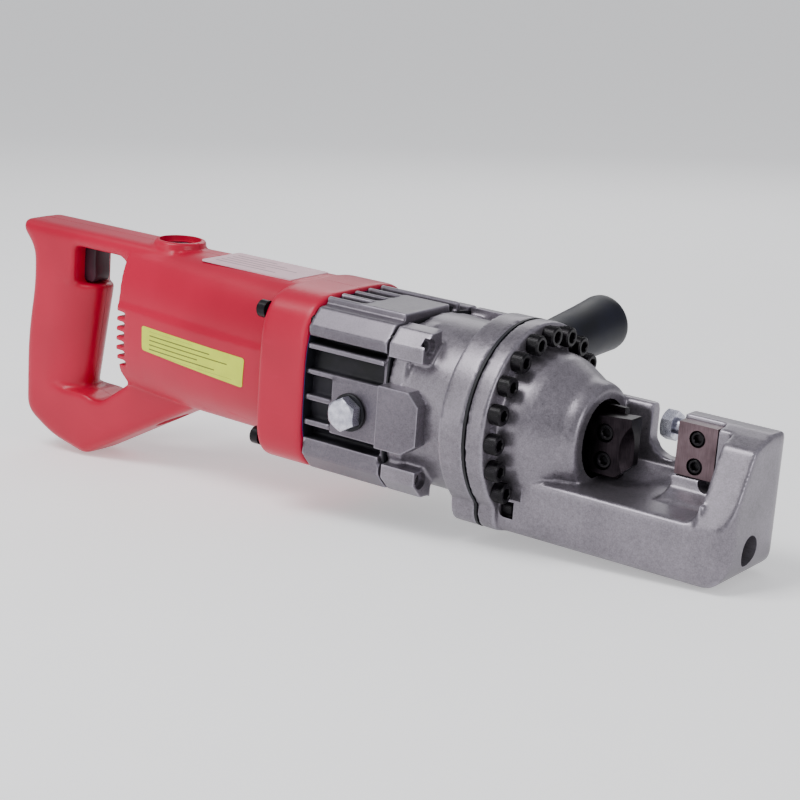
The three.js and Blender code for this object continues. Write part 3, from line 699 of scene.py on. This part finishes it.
def arm():
    beam = outline([(ARM_NEAR, THROAT_FLOOR, 3), (ARM_NEAR, BOTTOM, 9), (ARM_FAR, BOTTOM, 9),
                    (ARM_FAR, -10), (WALL_Y, -10, 4), (8, THROAT_FLOOR + 3, 6), (-12, THROAT_FLOOR + 1)])
    wall = outline([(WALL_Y, -40), (ARM_FAR, -40), (ARM_FAR, WALL_TOP, 3), (WALL_Y, WALL_TOP, 3)])
    jaw = outline([(ARM_NEAR, -30), (ARM_FAR, -30), (ARM_FAR, 15, 4), (18, 19), (8, 19.5), (0, 17.8),
                   (-10, 14.5, 2), (ARM_NEAR, THROAT_FLOOR)])
    jaw_back = outline([(0, -30), (ARM_FAR, -30), (ARM_FAR, 15, 4), (18, 19), (8, 19.5), (0, 17.8)])
    ledge = outline([(10, -30), (10, SEAT["z"]), (0, SEAT["z"]), (0, -13.5, 3), (-12, -18.5, 4), (-12, -30)])
    arc = [(math.sin(math.pi / 2 * i / 10), math.cos(math.pi / 2 * i / 10)) for i in range(11)]
    corner = [(103 + 10 * u, -11 - 10 * v) for u, v in arc] + [(114, -11), (114, -24), (103, -24)]
    return joined([
        prism("x", beam, 9, HEAD_FRONT), prism("x", wall, 30, 86), prism("x", jaw, 113, HEAD_FRONT),
        prism("x", jaw_back, 84, HEAD_FRONT), prism("x", ledge, 84, 114),
        prism("y", corner, ARM_NEAR + 2, -8)])


def arm_limits():
    plan = outline([(0, ARM_NEAR), (HEAD_FRONT, ARM_NEAR, 9), (HEAD_FRONT, ARM_FAR, 12), (0, ARM_FAR)])
    side = outline([(0, BOTTOM), (HEAD_FRONT, BOTTOM, 18), (HEAD_FRONT, 25, 12), (0, 25)])
    return prism("z", plan, BOTTOM - 1, 26) & prism("y", side, -40, 40)


def cutting_head():
    dome = turned("x", [(8, 0), (8, 37.6), (14, 37), (21, 36.3), (26, 35), (32.5, 31.4), (38.5, 28),
                        (43, 27.2), (COLLAR_X - 1, 26), (COLLAR_X, 24), (COLLAR_X, 0)], sides=160)
    slot = rod("y", BAR_SLOT["r"], 10, 40, BAR_SLOT["x"], BAR_SLOT["z"]) + block(
        BAR_SLOT["x"] - BAR_SLOT["r"], BAR_SLOT["x"] + BAR_SLOT["r"], 10, 40, BAR_SLOT["z"], 40)
    seat = block(80, SEAT["x"], -20, SEAT["y"], SEAT["z"], 30)
    rough = cut(joined([flange(SEAM, HEAD_FLANGE), dome, arm() & arm_limits()]), [slot, seat])
    seats = rods("x", BOLT_SEAT["r"], HEAD_FLANGE, HEAD_FLANGE + BOLT_SEAT["depth"], RING_PLACES[1:-1], 40)
    ends = [rod("x", END_SEAT["r"], HEAD_FLANGE, HEAD_FLANGE + END_SEAT["depth"], y, z, 48)
            for y, z in (RING_PLACES[0], RING_PLACES[-1])]
    return cut(rough.cast(1.0, 8), [
        block(SEAM - 5, SEAM, -60, 60, -60, 60),
        seat, seats, *ends, ring_holes(-5, 15),
        rod("x", COLLAR_MOUTH_R, COLLAR_X - 2.5, COLLAR_X + 0.6),
        rod("x", CYLINDER_R, -5, 22), rod("x", ROD_R + 0.5, 20, COLLAR_X + STROKE + 2.5),
        rod("y", 4.4, -20, SEAT["y"], 102.5, -9),
        rod("x", ARM_PLUG["r"], 112, 140, ARM_PLUG["y"], ARM_PLUG["z"]),
        rod("x", 4.3, 80, 120, STOPPER.y, STOPPER.z),
        rods("y", CUTTER_HOLE_R, 5, 14.6, FIXED_SCREWS),
    ])


def make_head():
    casting = piece("head_casting", cutting_head(), CASTING, ["cutting_head"])
    seat_x, seat_y, seat_z = SEAT.values()

    def on_seat(at, normal):
        inside = 83 < at.x < seat_x + 0.1 and at.y < seat_y + 0.1 and at.z > seat_z - 0.1
        return inside and max(abs(n) for n in normal) > 0.99
    repaint(casting, MACHINED, on_seat)

    def in_collar(at, normal):
        return 20 < at.x < COLLAR_X + 0.2 and math.hypot(at.y, at.z) < COLLAR_MOUTH_R + 0.1
    repaint(casting, DARK_STEEL, in_collar)


def make_ring_bolts():
    head = socket_screw(BOLT_HEAD_R - 0.14, 6, 2.95, 21, 5)
    bolt = together([head, knurl(BOLT_HEAD_R - 0.14, 0.4, 5.2, 40)])
    bolts = ring(bolt, BLACK_OXIDE, RING_BOLTS, RING_R, RING_STEP, HEAD_FLANGE + 0.3, math.pi / 3, 4)
    piece("ring_bolts", bolts, BLACK_OXIDE,
          [f"head_bolt_{i + 1:02d}" for i in range(RING_BOLTS)])


def make_cutters():
    low, high = CUTTER_LOW, CUTTER_HIGH
    blank = outline([(low.x, low.z, 0.4), (high.x, low.z, 0.4), (high.x, high.z, 0.8),
                     (low.x, high.z, 0.4)], 3)
    bevel = prism("x", [(-3, high.z - 1), (3, high.z + 2), (-3, high.z + 2)], 80, 110)
    holes = [rod("y", 4.1, -5, 5.4, x, z, 48) + rod("y", CUTTER_HOLE_R, -5, 12, x, z, 32)
             for x, z in FIXED_SCREWS]
    piece("fixed_blade", cut(prism("y", blank, low.y, high.y), [bevel, *holes]), TOOL_STEEL,
          ["fixed_cutter"], crisp=25)
    blank = outline([(43.5, -14, 1), (60, -14, 1), (66.5, -8, 0.6), (66.5, 15.6, 1), (43.5, 13.6, 1)], 3)
    arc = [math.pi * (i / 64 - 0.5) for i in range(65)]
    ball = [(SCOOP["x"] + SCOOP["r"] * math.sin(t), SCOOP["r"] * math.cos(t)) for t in arc]
    scoop = turned("x", ball, SCOOP["y"], SCOOP["z"], 128)
    holes = [rod("y", 4.6, -20, -4, x, z, 48) + rod("y", CUTTER_HOLE_R, -20, 5, x, z, 32)
             for x, z in MOVING_SCREWS]
    piece("moving_blade", cut(prism("y", blank, RAM_LOW.y, RAM_HIGH.y), [scoop, *holes]), DARK_STEEL,
          ["moving_cutter"], "ram", 25)


def make_cutter_screws():
    to_y = Matrix.Rotation(-math.pi / 2, 4, "Z")
    for group, places, head_r, front, length, body in (
            ("fixed_cutter_screw", FIXED_SCREWS, 3.7, 0.5, 8.8, "tool_body"),
            ("moving_cutter_screw", MOVING_SCREWS, 4.2, -9.0, 9.4, "ram")):
        screw = socket_screw(head_r, 4.6, 2.5, length, head_r).moved(to_y)
        x, z = places[0]
        pair = row(screw, BLACK_OXIDE, 2, (x, front + 4.6, z), (0, 0, places[1][1] - z))
        piece(f"{group}s", pair, BLACK_OXIDE, [f"{group}_1", f"{group}_2"], body)


def hex_head(flats, height):
    """A hexagon along X with its outer corners turned off, front at 0."""
    rim = flats / math.sqrt(3)
    crown = turned("x", [(-1, 0), (-1, rim - 3.2), (1.0, rim + 0.1), (height + 1, rim + 0.4),
                         (height + 1, 0)])
    return prism("x", hexagon(flats, math.pi / 6), 0, height) & crown


def make_stopper():
    shank = turned("x", [(5, 0), (5, 3.9), (37.2, 3.9), (38, 3.1), (38, 0)], sides=64)
    starts = [7.2 + THREAD_PITCH * i for i in range(4)]
    thread = together([turned("x", [(x, 0), (x, 3.3), (x + 0.3, 4.02), (x + 0.6, 3.3), (x + 0.6, 0)],
                              sides=40) for x in starts])
    bolt = together([hex_head(HEX_FLATS, 6.5) + shank, thread])
    bolt = bolt.shifted(span("stopper_bolt")[0].x, STOPPER.y, STOPPER.z)
    piece("stopper_screw", bolt, ZINC, ["stopper_bolt"], "stopper", 25)
    nut = hex_head(HEX_FLATS, 4) - rod("x", 4.2, -1, 5)
    nut = nut.shifted(span("stopper_nut")[0].x, STOPPER.y, STOPPER.z)
    piece("stopper_lock_nut", nut, ZINC, ["stopper_nut"], crisp=25)


def make_arm_plug():
    plug = socket_screw(7.2, 4, 6.9, 6, 7.2, 72).shifted(119, ARM_PLUG["y"], ARM_PLUG["z"])
    piece("front_plug", plug, BLACK_OXIDE, ["arm_plug"])


# ---- cylinder --------------------
GRIP_FRAME = Matrix.Translation((GRIP["x"], GRIP["y"], GRIP["z"])) @ Matrix.Rotation(GRIP["tilt"], 4, "X")


def tie_boss(at, corners, x0, x1):
    """A chamfered corner boss round a long case screw; corners are given for +Y and +Z."""
    y, z = at
    mirrored = [(math.copysign(v, y), math.copysign(w, z)) for v, w in corners]
    mirrored.sort(key=lambda corner: math.atan2(corner[1] - z, corner[0] - y))
    return prism("x", mirrored, x0, x1)


def cylinder_body():
    corners = [(26, 26), (42, 27), (42, 34), (35, 41), (27, 42)]
    rear = prism("x", squircle(41, 41.5, -40.5), BODY_LOW.x, -42)
    face = [(BODY_LOW.x, -17.5), (-35, -17.5), (-27, -12), (-27, 8), (-33, 14), (BODY_LOW.x, 14)]
    side_block = prism("y", face, BODY_LOW.y, -30)
    grip_boss = rod("y", 13, -8, 1.5, sides=64).moved(GRIP_FRAME)
    body = joined([rod("x", 43, BODY_LOW.x, -13, sides=160), flange(BODY_FLANGE, -SEAM), rear,
                   *[tie_boss(at, corners, BODY_LOW.x, -31) for at in TIE_SCREWS], grip_boss])
    rough = body.cast(1.0, 5) + side_block.cast(0.6, 2)
    return cut(rough, [
        block(-SEAM, 5, -60, 60, -60, 60), block(-60, BODY_LOW.x, -60, 60, -60, 60),
        rod("x", CYLINDER_R, -40, 5), rod("x", 5, -55, -45, 0, MOTOR_Z - PINION_DROP),
        rod("y", 5.1, -9, 5).moved(GRIP_FRAME), ring_holes(-12, 5),
        tie_holes(-60, -20), rods("x", 4.4, -34, -20, TIE_SCREWS, 32),
    ])


def make_cylinder():
    body = piece("cylinder_casting", cylinder_body(), CASTING, ["cylinder_body"])

    def block_face(at, normal):
        return at.y < -44 and at.x < -27 and abs(normal.y) > 0.9
    repaint(body, DIE_CAST, block_face)
    gasket = cut(flange(-SEAM + 0.3, SEAM - 0.3), [rod("x", CYLINDER_R + 0.5, -5, 5), ring_holes(-5, 5)])
    piece("flange_seal", gasket, RUBBER, ["head_gasket"])


# ---- pump case -------------------
FIN_Z = (22.5, 9.5, -3.5, -16.5, -26.0)
TOP_FIN_Y = (-26, -15, -4, 7, 18)
FIN_FACE = 41.0
TOP_FACE = 45.5


def pump_case():
    x0, x1 = CASE_LOW.x, CASE_HIGH.x
    core = prism("x", squircle(36, 37.5, -36), x0 - 2, x1 + 2)
    corners = [(25, 25), (41.5, 28), (42, 33), (34.5, 41.5), (27, 42)]
    bosses = [tie_boss(at, corners, x0, x1) for at in TIE_SCREWS]
    side_fins = [block(x0 - 2, x1 - 1.5, *sorted((30 * s, FIN_FACE * s)), z - 1.4, z + 1.4)
                 for z in FIN_Z for s in (-1, 1)]
    top_fins = [block(x0 - 2, x1, y - 1.6, y + 1.6, low, high)
                for y in TOP_FIN_Y for low, high in ((30, TOP_FACE), (-42, -30))]
    front_frame = prism("x", squircle(40.2, 41.2, -40.2, 3.6, 3.6), x1 - 2.4, x1 + 2)
    pad = block(-84, x1 - 1, -41.8, -30, -19, 8.5)
    bridge = block(-80, x1, -27.5, 10, 30, TOP_FACE + 0.1)
    rough = joined([core, *bosses, *side_fins, *top_fins, front_frame, pad, bridge]).cast(0.8, 3)
    return cut(rough, [
        block(-60 + x0, x0, -60, 60, -60, 60), block(x1, x1 + 20, -60, 60, -60, 60),
        rod("x", PUMP_BORE_R, -94, 0) - block(-76, -58, -11, 11, 4, 40),
        rod("x", 13.3, -99.4, -90, 0, MOTOR_Z), rod("x", 6, -110, -90, 0, MOTOR_Z),
        rod("x", 5, -99, -90, 0, MOTOR_Z - PINION_DROP), rod("z", 5.3, 0, 22, -67, 0),
        rod("y", PLUG_HOLE_R, -60, -25, *PLUG_AT), tie_holes(-120, -40, CASE_HOLE_R),
    ])


def make_pump_case():
    case = piece("pump_casting", pump_case(), DIE_CAST, ["pump_case"])

    # painted shade: the sides between the fins and the roof between the top fins get the near-black finish
    def shaded_between_fins(at, normal):
        side = 30 < abs(at.y) < FIN_FACE - 1.4 and -30.5 < at.z < 27 and abs(normal.x) < 0.8
        roof = TOP_FACE - 2.4 > abs(at.z) > 34 and abs(at.y) < 26 and abs(normal.x) < 0.8
        on_pad = at.y < 0 and at.x > -84.6 and -19.6 < at.z < 9.1
        return at.x < CASE_HIGH.x - 2.2 and (side or roof) and not on_pad
    repaint(case, FIN_GAP_SHADE, shaded_between_fins)
    gasket = cut(prism("x", squircle(41, 41.5, -40.5, 4.4, 4.4), -52.3, BODY_LOW.x - 0.3), [
        rod("x", PUMP_BORE_R, -60, -40), tie_holes(-60, -40, CASE_HOLE_R)])
    piece("case_seal", gasket, RUBBER, ["case_gasket"])
    ring_seal = cut(prism("x", squircle(42.6, 44.2, -42.4, 3.6, 3.6), BAND["x1"] + 0.1, CASE_LOW.x - 0.05), [
        rod("x", MOTOR_BORE_R, -110, -90), tie_holes(-110, -90, CASE_HOLE_R)])
    seal = piece("motor_seal", ring_seal, BLUE_SEAL)
    repaint(seal, RUBBER, lambda at, normal: abs(normal.x) > 0.9)


def make_oil_plug():
    low, high = span("oil_plug")
    to_y = Matrix.Rotation(math.pi / 2, 4, "Z")
    head = hex_head(15, 6.1).moved(to_y).shifted(PLUG_AT[0], low.y, PLUG_AT[1])
    shank = rod("y", 5, low.y + 5, high.y, *PLUG_AT)
    piece("drain_plug", head + shank, ZINC, ["oil_plug"], crisp=25)
    low, high = span("plug_washer")
    profile = [(low.y, 0), (low.y, 9.1), (low.y + 0.4, 9.5), (high.y - 0.4, 9.5), (high.y, 9.1), (high.y, 0)]
    washer = turned("y", profile, *PLUG_AT) - rod("y", PLUG_HOLE_R, -50, -30, *PLUG_AT)
    piece("drain_seal", washer, RUBBER, ["plug_washer"])


# ---- motor housing ---------------
CREASE_Z = 13.6
STATIONS = [(-246, 25.0, 3.0), (-236, 26.3, 3.0), (-226, 27.4, 3.02), (-208, 29.8, 3.06), (-190, 32.0, 3.1),
            (-170, 34.2, 3.15), (-150, 36.0, 3.2), (-138, 37.0, 3.25), (-129, 37.6, 3.3)]


def shell_section(x, half, square):
    """The motor barrel's section: round below, flatter above a crease along each side."""
    points = []
    for y, z in squircle(half, 47, -38.5, square, 2.3, 200):
        rise = min(max((z - CREASE_Z) / 1.2, 0.0), 1.0)
        inset = 1.1 * rise * min(max((abs(y) - half * 0.55) / (half * 0.25), 0.0), 1.0)
        points.append((x, y - math.copysign(inset, y), z))
    return points


def handle_outline():
    return outline([
        (-330.5, 47.5, 4), (-215, 47.5), (-197, -36), (-278, -81, 3), (-304, -75.5, 8),
        (-324.8, -64, 8), (-325.5, -20, 18), (-321, 12, 9), (-321.5, 31, 8), (-330.5, 40.5, 3)])


def handle_window():
    return outline([
        (-276.5, 16.5, 2), (-288.5, 16.5), (-288.5, 38), (-251, 38, 5), (-246, 30, 3), (-247, 12),
        (-245.5, -24, 3), (-242.5, -30.5, 3), (-267, -48.5, 9), (-281, -44, 4), (-283.5, -34, 4)])


def grip_corners():
    """What the oval section of the grip leaves out of its inner corners."""
    lean = Matrix.Translation((-304, 0, -10)) @ Matrix.Rotation(math.radians(8.6), 4, "Y")
    oval = rod("z", 16, -60, 60, sides=96).moved(lean @ Matrix.Diagonal((1.5, 1, 1, 1)))
    return block(-304, -270, -17, 17, -45, 16.5) - oval


def band():
    """The front band, with a rounded rear shoulder and bulging sides."""
    steps = [(0.0, 1.8), (0.5, 0.9), (1.4, 0.25), (2.6, 0.0), (26.4, 0.0), (28.2, 0.3), (29.0, 0.9)]
    rings = []
    for along, drop in steps:
        section = squircle(BAND["y"] - drop, BAND["top"] - drop, BAND["bottom"] + drop, 4.2, 5.0, 200)
        rings.append([(BAND["x0"] + along, y, z) for y, z in section])
    return skinned(rings)


def gland_rod(r, start, end, sides=48):
    """A rod through the slanted lower corner of the handle, square to that face."""
    outward = Vector((-11.5, 0, -20.8)).normalized()
    turn = Vector((0, 1, 0)).rotation_difference(outward).to_matrix().to_4x4()
    return rod("y", r, start, end, sides=sides).moved(Matrix.Translation((-314.4, 0, -69.8)) @ turn)


def housing():
    barrel = skinned([shell_section(*station) for station in STATIONS])
    handle = pillow(handle_outline(), HANDLE_Y, 5.5)
    boss = turned("z", [(38, 0), (38, 14), (50, 14), (51, 13), (51, 0)], COMMUTATOR, 0)
    through = prism("y", handle_window(), -40, 40)
    notches = [row(block(-250, -239, *sorted((11 * s, 40 * s)), -1.3, 1.3), RED, 6, (0, 0, 9.2), (0, 0, -5.4))
               for s in (-1, 1)]
    grip = cut(handle, [through, grip_corners()]).cast(1.4, 9)
    raw = cut(joined([barrel, band(), boss]), [through, grip_corners()]) + grip
    plate = block(-196, -133, -16.5, 16.5, 46, 60)
    return cut(cut(raw, [*notches, plate]).cast(0.9, 4), [
        rod("x", 26.6, -214, -128, 0, MOTOR_Z), rod("x", 17, -233, -210, 0, MOTOR_Z),
        rod("x", MOTOR_BORE_R, -131, -90), rod("x", 9.8, -240.6, -230, 0, MOTOR_Z),
        rod("z", CAP_HOLE_R, 36, 60, COMMUTATOR), rod("z", 11.4, 48.2, 60, COMMUTATOR),
        rod("z", BRUSH_R, MOTOR_Z + 10, 40, COMMUTATOR),
        rod("z", BRUSH_R, -40, MOTOR_Z - 10, COMMUTATOR), rod("z", CAP_HOLE_R, -80, -36, COMMUTATOR),
        block(-315, -298, -8.8, 8.8, 6, 38.3), block(-299, -280, -6.5, 6.5, 16.3, 38.3),
        gland_rod(5.8, -12, 8), block(BAND["x1"], -90, -60, 60, -60, 60),
        *[rod("x", 5.4, -160, BAND["x0"], y, z, 40) for y, z in TIE_SCREWS],
        tie_holes(-140, -90),
    ])


def make_housing():
    whole = housing()
    for name, node, low, high in (("right_shell", "housing_right", -60, -0.12),
                                  ("left_shell", "housing_left", 0.12, 60)):
        shell = whole & block(-400, 0, low, high, -100, 100)
        piece(name, shell, RED, [node], crisp=42)
    screw = socket_screw(4.6, 5.5, 2.6, 94, 5).moved(Matrix.Rotation(math.pi, 4, "Z"))
    pairs = [row(screw, BLACK_OXIDE, 2, (BAND["x0"] - 0.3, y, 34.5), (0, 0, -66.5)) for y in (36.5, -36.5)]
    piece("long_case_screws", together(pairs), BLACK_OXIDE,
          [f"case_screw_{i}" for i in range(1, 5)])


def make_brush_caps():
    for name, node, face, sign in (("upper_brush_cap", "brush_cap_top", 48.0, 1),
                                   ("lower_brush_cap", "brush_cap_bottom", -45.0, -1)):
        low, high = span(node)
        inner = low.z if sign > 0 else high.z
        profile = [(inner, 0), (inner, 9), (face - sign * 0.8, 9), (face, 8.2), (face, 6.4),
                   (face - sign * 0.5, 6), (face - sign * 0.5, 0)]
        cap = turned("z", profile, COMMUTATOR, 0)
        slot = block(COMMUTATOR - 12, COMMUTATOR + 12, -0.9, 0.9, *sorted((face - sign * 2.0, face + sign)))
        piece(name, cap - slot, BLACK_PLASTIC, [node])


def make_trigger():
    side = outline([(-293, 17, 1.5), (-282, 17, 2.5), (-280.5, 21, 4), (-281.2, 30, 6), (-280.5, 37.6, 1),
                    (-293, 37.6, 1.5)])
    key = pillow(side, 6, 1.2)
    piece("trigger_key", key, BLACK_PLASTIC, ["trigger"], "trigger_key")
    gland = cut(gland_rod(5.5, -10, 1.5) + gland_rod(6.4, 0.3, 1.5), [gland_rod(2.6, -20, 10, 24)])
    piece("cord_entry", gland, RUBBER, ["cord_gland"])


# ---- plates laid on the housing --
def draped(target, corners, across, up, lift):
    """A thin sheet laid on a piece from the -Y side.

    Corners are (x, z), from the lower left round to the upper left.
    """
    mesh = target.data
    tree = BVHTree.FromPolygons([v.co for v in mesh.vertices], [f.vertices[:] for f in mesh.polygons])
    low_left, low_right, up_right, up_left = (Vector(corner) for corner in corners)
    sheet = bmesh.new()
    grid = []
    for j in range(up + 1):
        line = []
        for i in range(across + 1):
            t = j / up
            reach = max(1 - min(t, 1 - t) * 9, 0.0)
            inset = 0.018 * (1 - math.sqrt(1 - reach * reach))
            s = inset + (1 - 2 * inset) * i / across
            x, z = (low_left.lerp(low_right, s)).lerp(up_left.lerp(up_right, s), t)
            start = ORIGIN + Vector((x, -80, z)) * MM
            hit = tree.ray_cast(start, Vector((0, 1, 0)))[0]
            line.append((hit - ORIGIN) / MM)
        grid.append(line)
    outer = [[sheet.verts.new((p.x, p.y - lift, p.z)) for p in line] for line in grid]
    inner = [[sheet.verts.new((p.x, p.y + 0.5, p.z)) for p in line] for line in grid]
    for j in range(up):
        for i in range(across):
            sheet.faces.new((outer[j][i], outer[j][i + 1], outer[j + 1][i + 1], outer[j + 1][i]))
            sheet.faces.new((inner[j][i], inner[j + 1][i], inner[j + 1][i + 1], inner[j][i + 1]))
    edge = ([(0, i) for i in range(across)] + [(j, across) for j in range(up)]
            + [(up, i) for i in range(across, 0, -1)] + [(j, 0) for j in range(up, 0, -1)])
    for (a, b), (c, d) in zip(edge, edge[1:] + edge[:1]):
        sheet.faces.new((outer[a][b], inner[a][b], inner[c][d], outer[c][d]))
    bmesh.ops.recalc_face_normals(sheet, faces=sheet.faces)
    return solid_of(sheet, "sheet")


def make_labels():
    shell = bpy.data.objects["right_shell"]
    corners = [(-223.6, -6.4), (-146, -9.9), (-145, 5.9), (-224.3, 6.9)]
    low, high = (ORIGIN + Vector(corner) * MM for corner in ((-224, 0, -8.5), (-145.5, 0, 6.4)))
    finish = printed("yellow_label", colour(206, 222, 44), colour(48, 56, 20), low, high, 6)
    piece("side_label", draped(shell, corners, 60, 36, 0.25), finish)
    x0, x1, y = PLATE.values()
    plate = outline([(x0, -y, 2), (x1, -y, 2), (x1, y, 2), (x0, y, 2)])
    low, high = (ORIGIN + Vector(corner) * MM for corner in ((x0, -y, 0), (x1, y, 0)))
    finish = printed("rating_plate", colour(214, 176, 186), colour(120, 84, 96), low, high, 7)
    piece("name_plate", prism("z", plate, 45.9, 46.7), finish)


# ---- side grip -------------------
def make_grip():
    length = GRIP["length"]
    profile = [(1.8, 0), (1.8, 14.4), (2.4, 15.3), (4.2, 16), (5.6, 15.8), (6.8, 14.8), (8.4, 14.1),
               (11, 13.8), (20, 13.6), (40, 13.9), (length - 20, 14.8), (length - 7, 15.5),
               (length - 4, 15.7), (length - 2.2, 15.5), (length - 1, 14.7), (length - 0.3, 13.2),
               (length, 11.5), (length, 0)]
    sleeve = turned("y", profile, sides=160) - rod("y", 5.4, 0, 32)
    piece("grip_sleeve", sleeve.moved(GRIP_FRAME), GRIP_RUBBER, ["side_grip"])


# ---- inside ----------------------
def finish_nodes():
    """CAD nodes that keep their own shape, each with its finish."""
    kept = {
        DARK_STEEL: ["piston"],
        GROUND: ["return_spring", "drive_gear", "eccentric_shaft", "plunger", "armature",
                 "rear_bearing", "front_bearing"],
        WINDINGS: ["stator"],
        RUBBER: ["piston_seal", "oil_bladder"],
        BLACK_PLASTIC: ["switch_body", "cooling_fan"],
        CARBON: ["carbon_brush_top", "carbon_brush_bottom"],
        BLACK_OXIDE: ["grip_stud"],
    }
    for finish, names in kept.items():
        for name in names:
            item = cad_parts[name]
            item.data.materials.clear()
            item.data.materials.append(finish)


# ---- studio ----------------------
REST_PITCH = math.radians(4.4)  # the tool rests on its handle and the front of its arm
AZIMUTH, ELEVATION, ROLL = (math.radians(angle) for angle in (34.84, 15.03, 4.25))
DISTANCE = 0.9733  # metres
FLOOR_HALF = 30.0  # metres
AIM_RIGHT, AIM_UP = 0.06, -0.0089  # where the flange joint sits from the view's axis, as slopes


def make_camera():
    back = Vector((math.sin(AZIMUTH) * math.cos(ELEVATION), -math.cos(AZIMUTH) * math.cos(ELEVATION),
                   math.sin(ELEVATION)))
    right = back.cross(Vector((0, 0, -1))).normalized()
    up = back.cross(right)
    right_rolled = right * math.cos(ROLL) + up * math.sin(ROLL)
    up_rolled = up * math.cos(ROLL) - right * math.sin(ROLL)
    data = bpy.data.cameras.new("camera")
    data.lens = 90
    data.sensor_width = 36
    camera = linked("camera", data)
    place = ORIGIN + DISTANCE * (back - AIM_RIGHT * right_rolled - AIM_UP * up_rolled)
    turn = Matrix((right_rolled, up_rolled, back)).transposed().to_4x4()
    camera.matrix_world = Matrix.Translation(place) @ turn
    bpy.context.scene.camera = camera
    return right_rolled, up_rolled, back


def make_stage():
    finish = Finish("floor", roughness=0.9, emission_color=(1, 1, 1, 1), emission_strength=0.4)
    finish.set("Base Color", finish.mix(finish.grain(40.0, 2.0), (0.86, 0.86, 0.87, 1), (0.89, 0.89, 0.9, 1)))
    finish.set("Alpha", 1 - finish.node("ShaderNodeNewGeometry", output="Backfacing"))
    corner = ORIGIN + HEEL * MM
    flat = [Vector((x, y, 0)) * FLOOR_HALF for x, y in ((-1, -1), (1, -1), (1, 1), (-1, 1))]
    turn = Matrix.Rotation(-REST_PITCH, 4, "Y")
    mesh = bpy.data.meshes.new("floor")
    mesh.from_pydata([corner + turn @ v for v in flat], [], [(0, 1, 2, 3)])
    floor = linked("floor", mesh)
    floor.data.materials.append(finish.material)


def make_lights(right, up, back):
    aim = ORIGIN + Vector((-90, 0, 0)) * MM

    def area(name, direction, distance, size, power):
        data = bpy.data.lights.new(name, "AREA")
        data.shape = "RECTANGLE"
        data.size, data.size_y = size
        data.energy = power
        lamp = linked(name, data)
        lamp.location = aim + direction.normalized() * distance
        lamp.rotation_mode = "QUATERNION"
        lamp.rotation_quaternion = direction.to_track_quat("Z", "Y")

    area("key", up - right * 0.55 + back * 0.45, 1.6, (0.9, 0.7), 19)
    area("front_fill", back + right * 0.75 + up * 0.15, 1.9, (0.8, 0.8), 10)
    area("left_strip", -right + back * 0.7 + up * 0.25, 1.7, (0.5, 1.4), 7)
    area("rim", up * 0.9 - back + right * 0.3, 1.7, (1.2, 0.6), 5)
    world = bpy.data.worlds.new("studio")
    world.use_nodes = True
    world.node_tree.nodes["Background"].inputs["Color"].default_value = (0.94, 0.95, 1.0, 1)
    world.node_tree.nodes["Background"].inputs["Strength"].default_value = 0.5
    bpy.context.scene.world = world


# ---- assembly --------------------
view_axes = make_camera()
make_stage()
make_lights(*view_axes)
for make in (make_head, make_ring_bolts, make_cutters, make_cutter_screws, make_stopper, make_arm_plug,
             make_cylinder, make_pump_case, make_oil_plug, make_housing, make_brush_caps, make_trigger,
             make_labels, make_grip, finish_nodes):
    make()
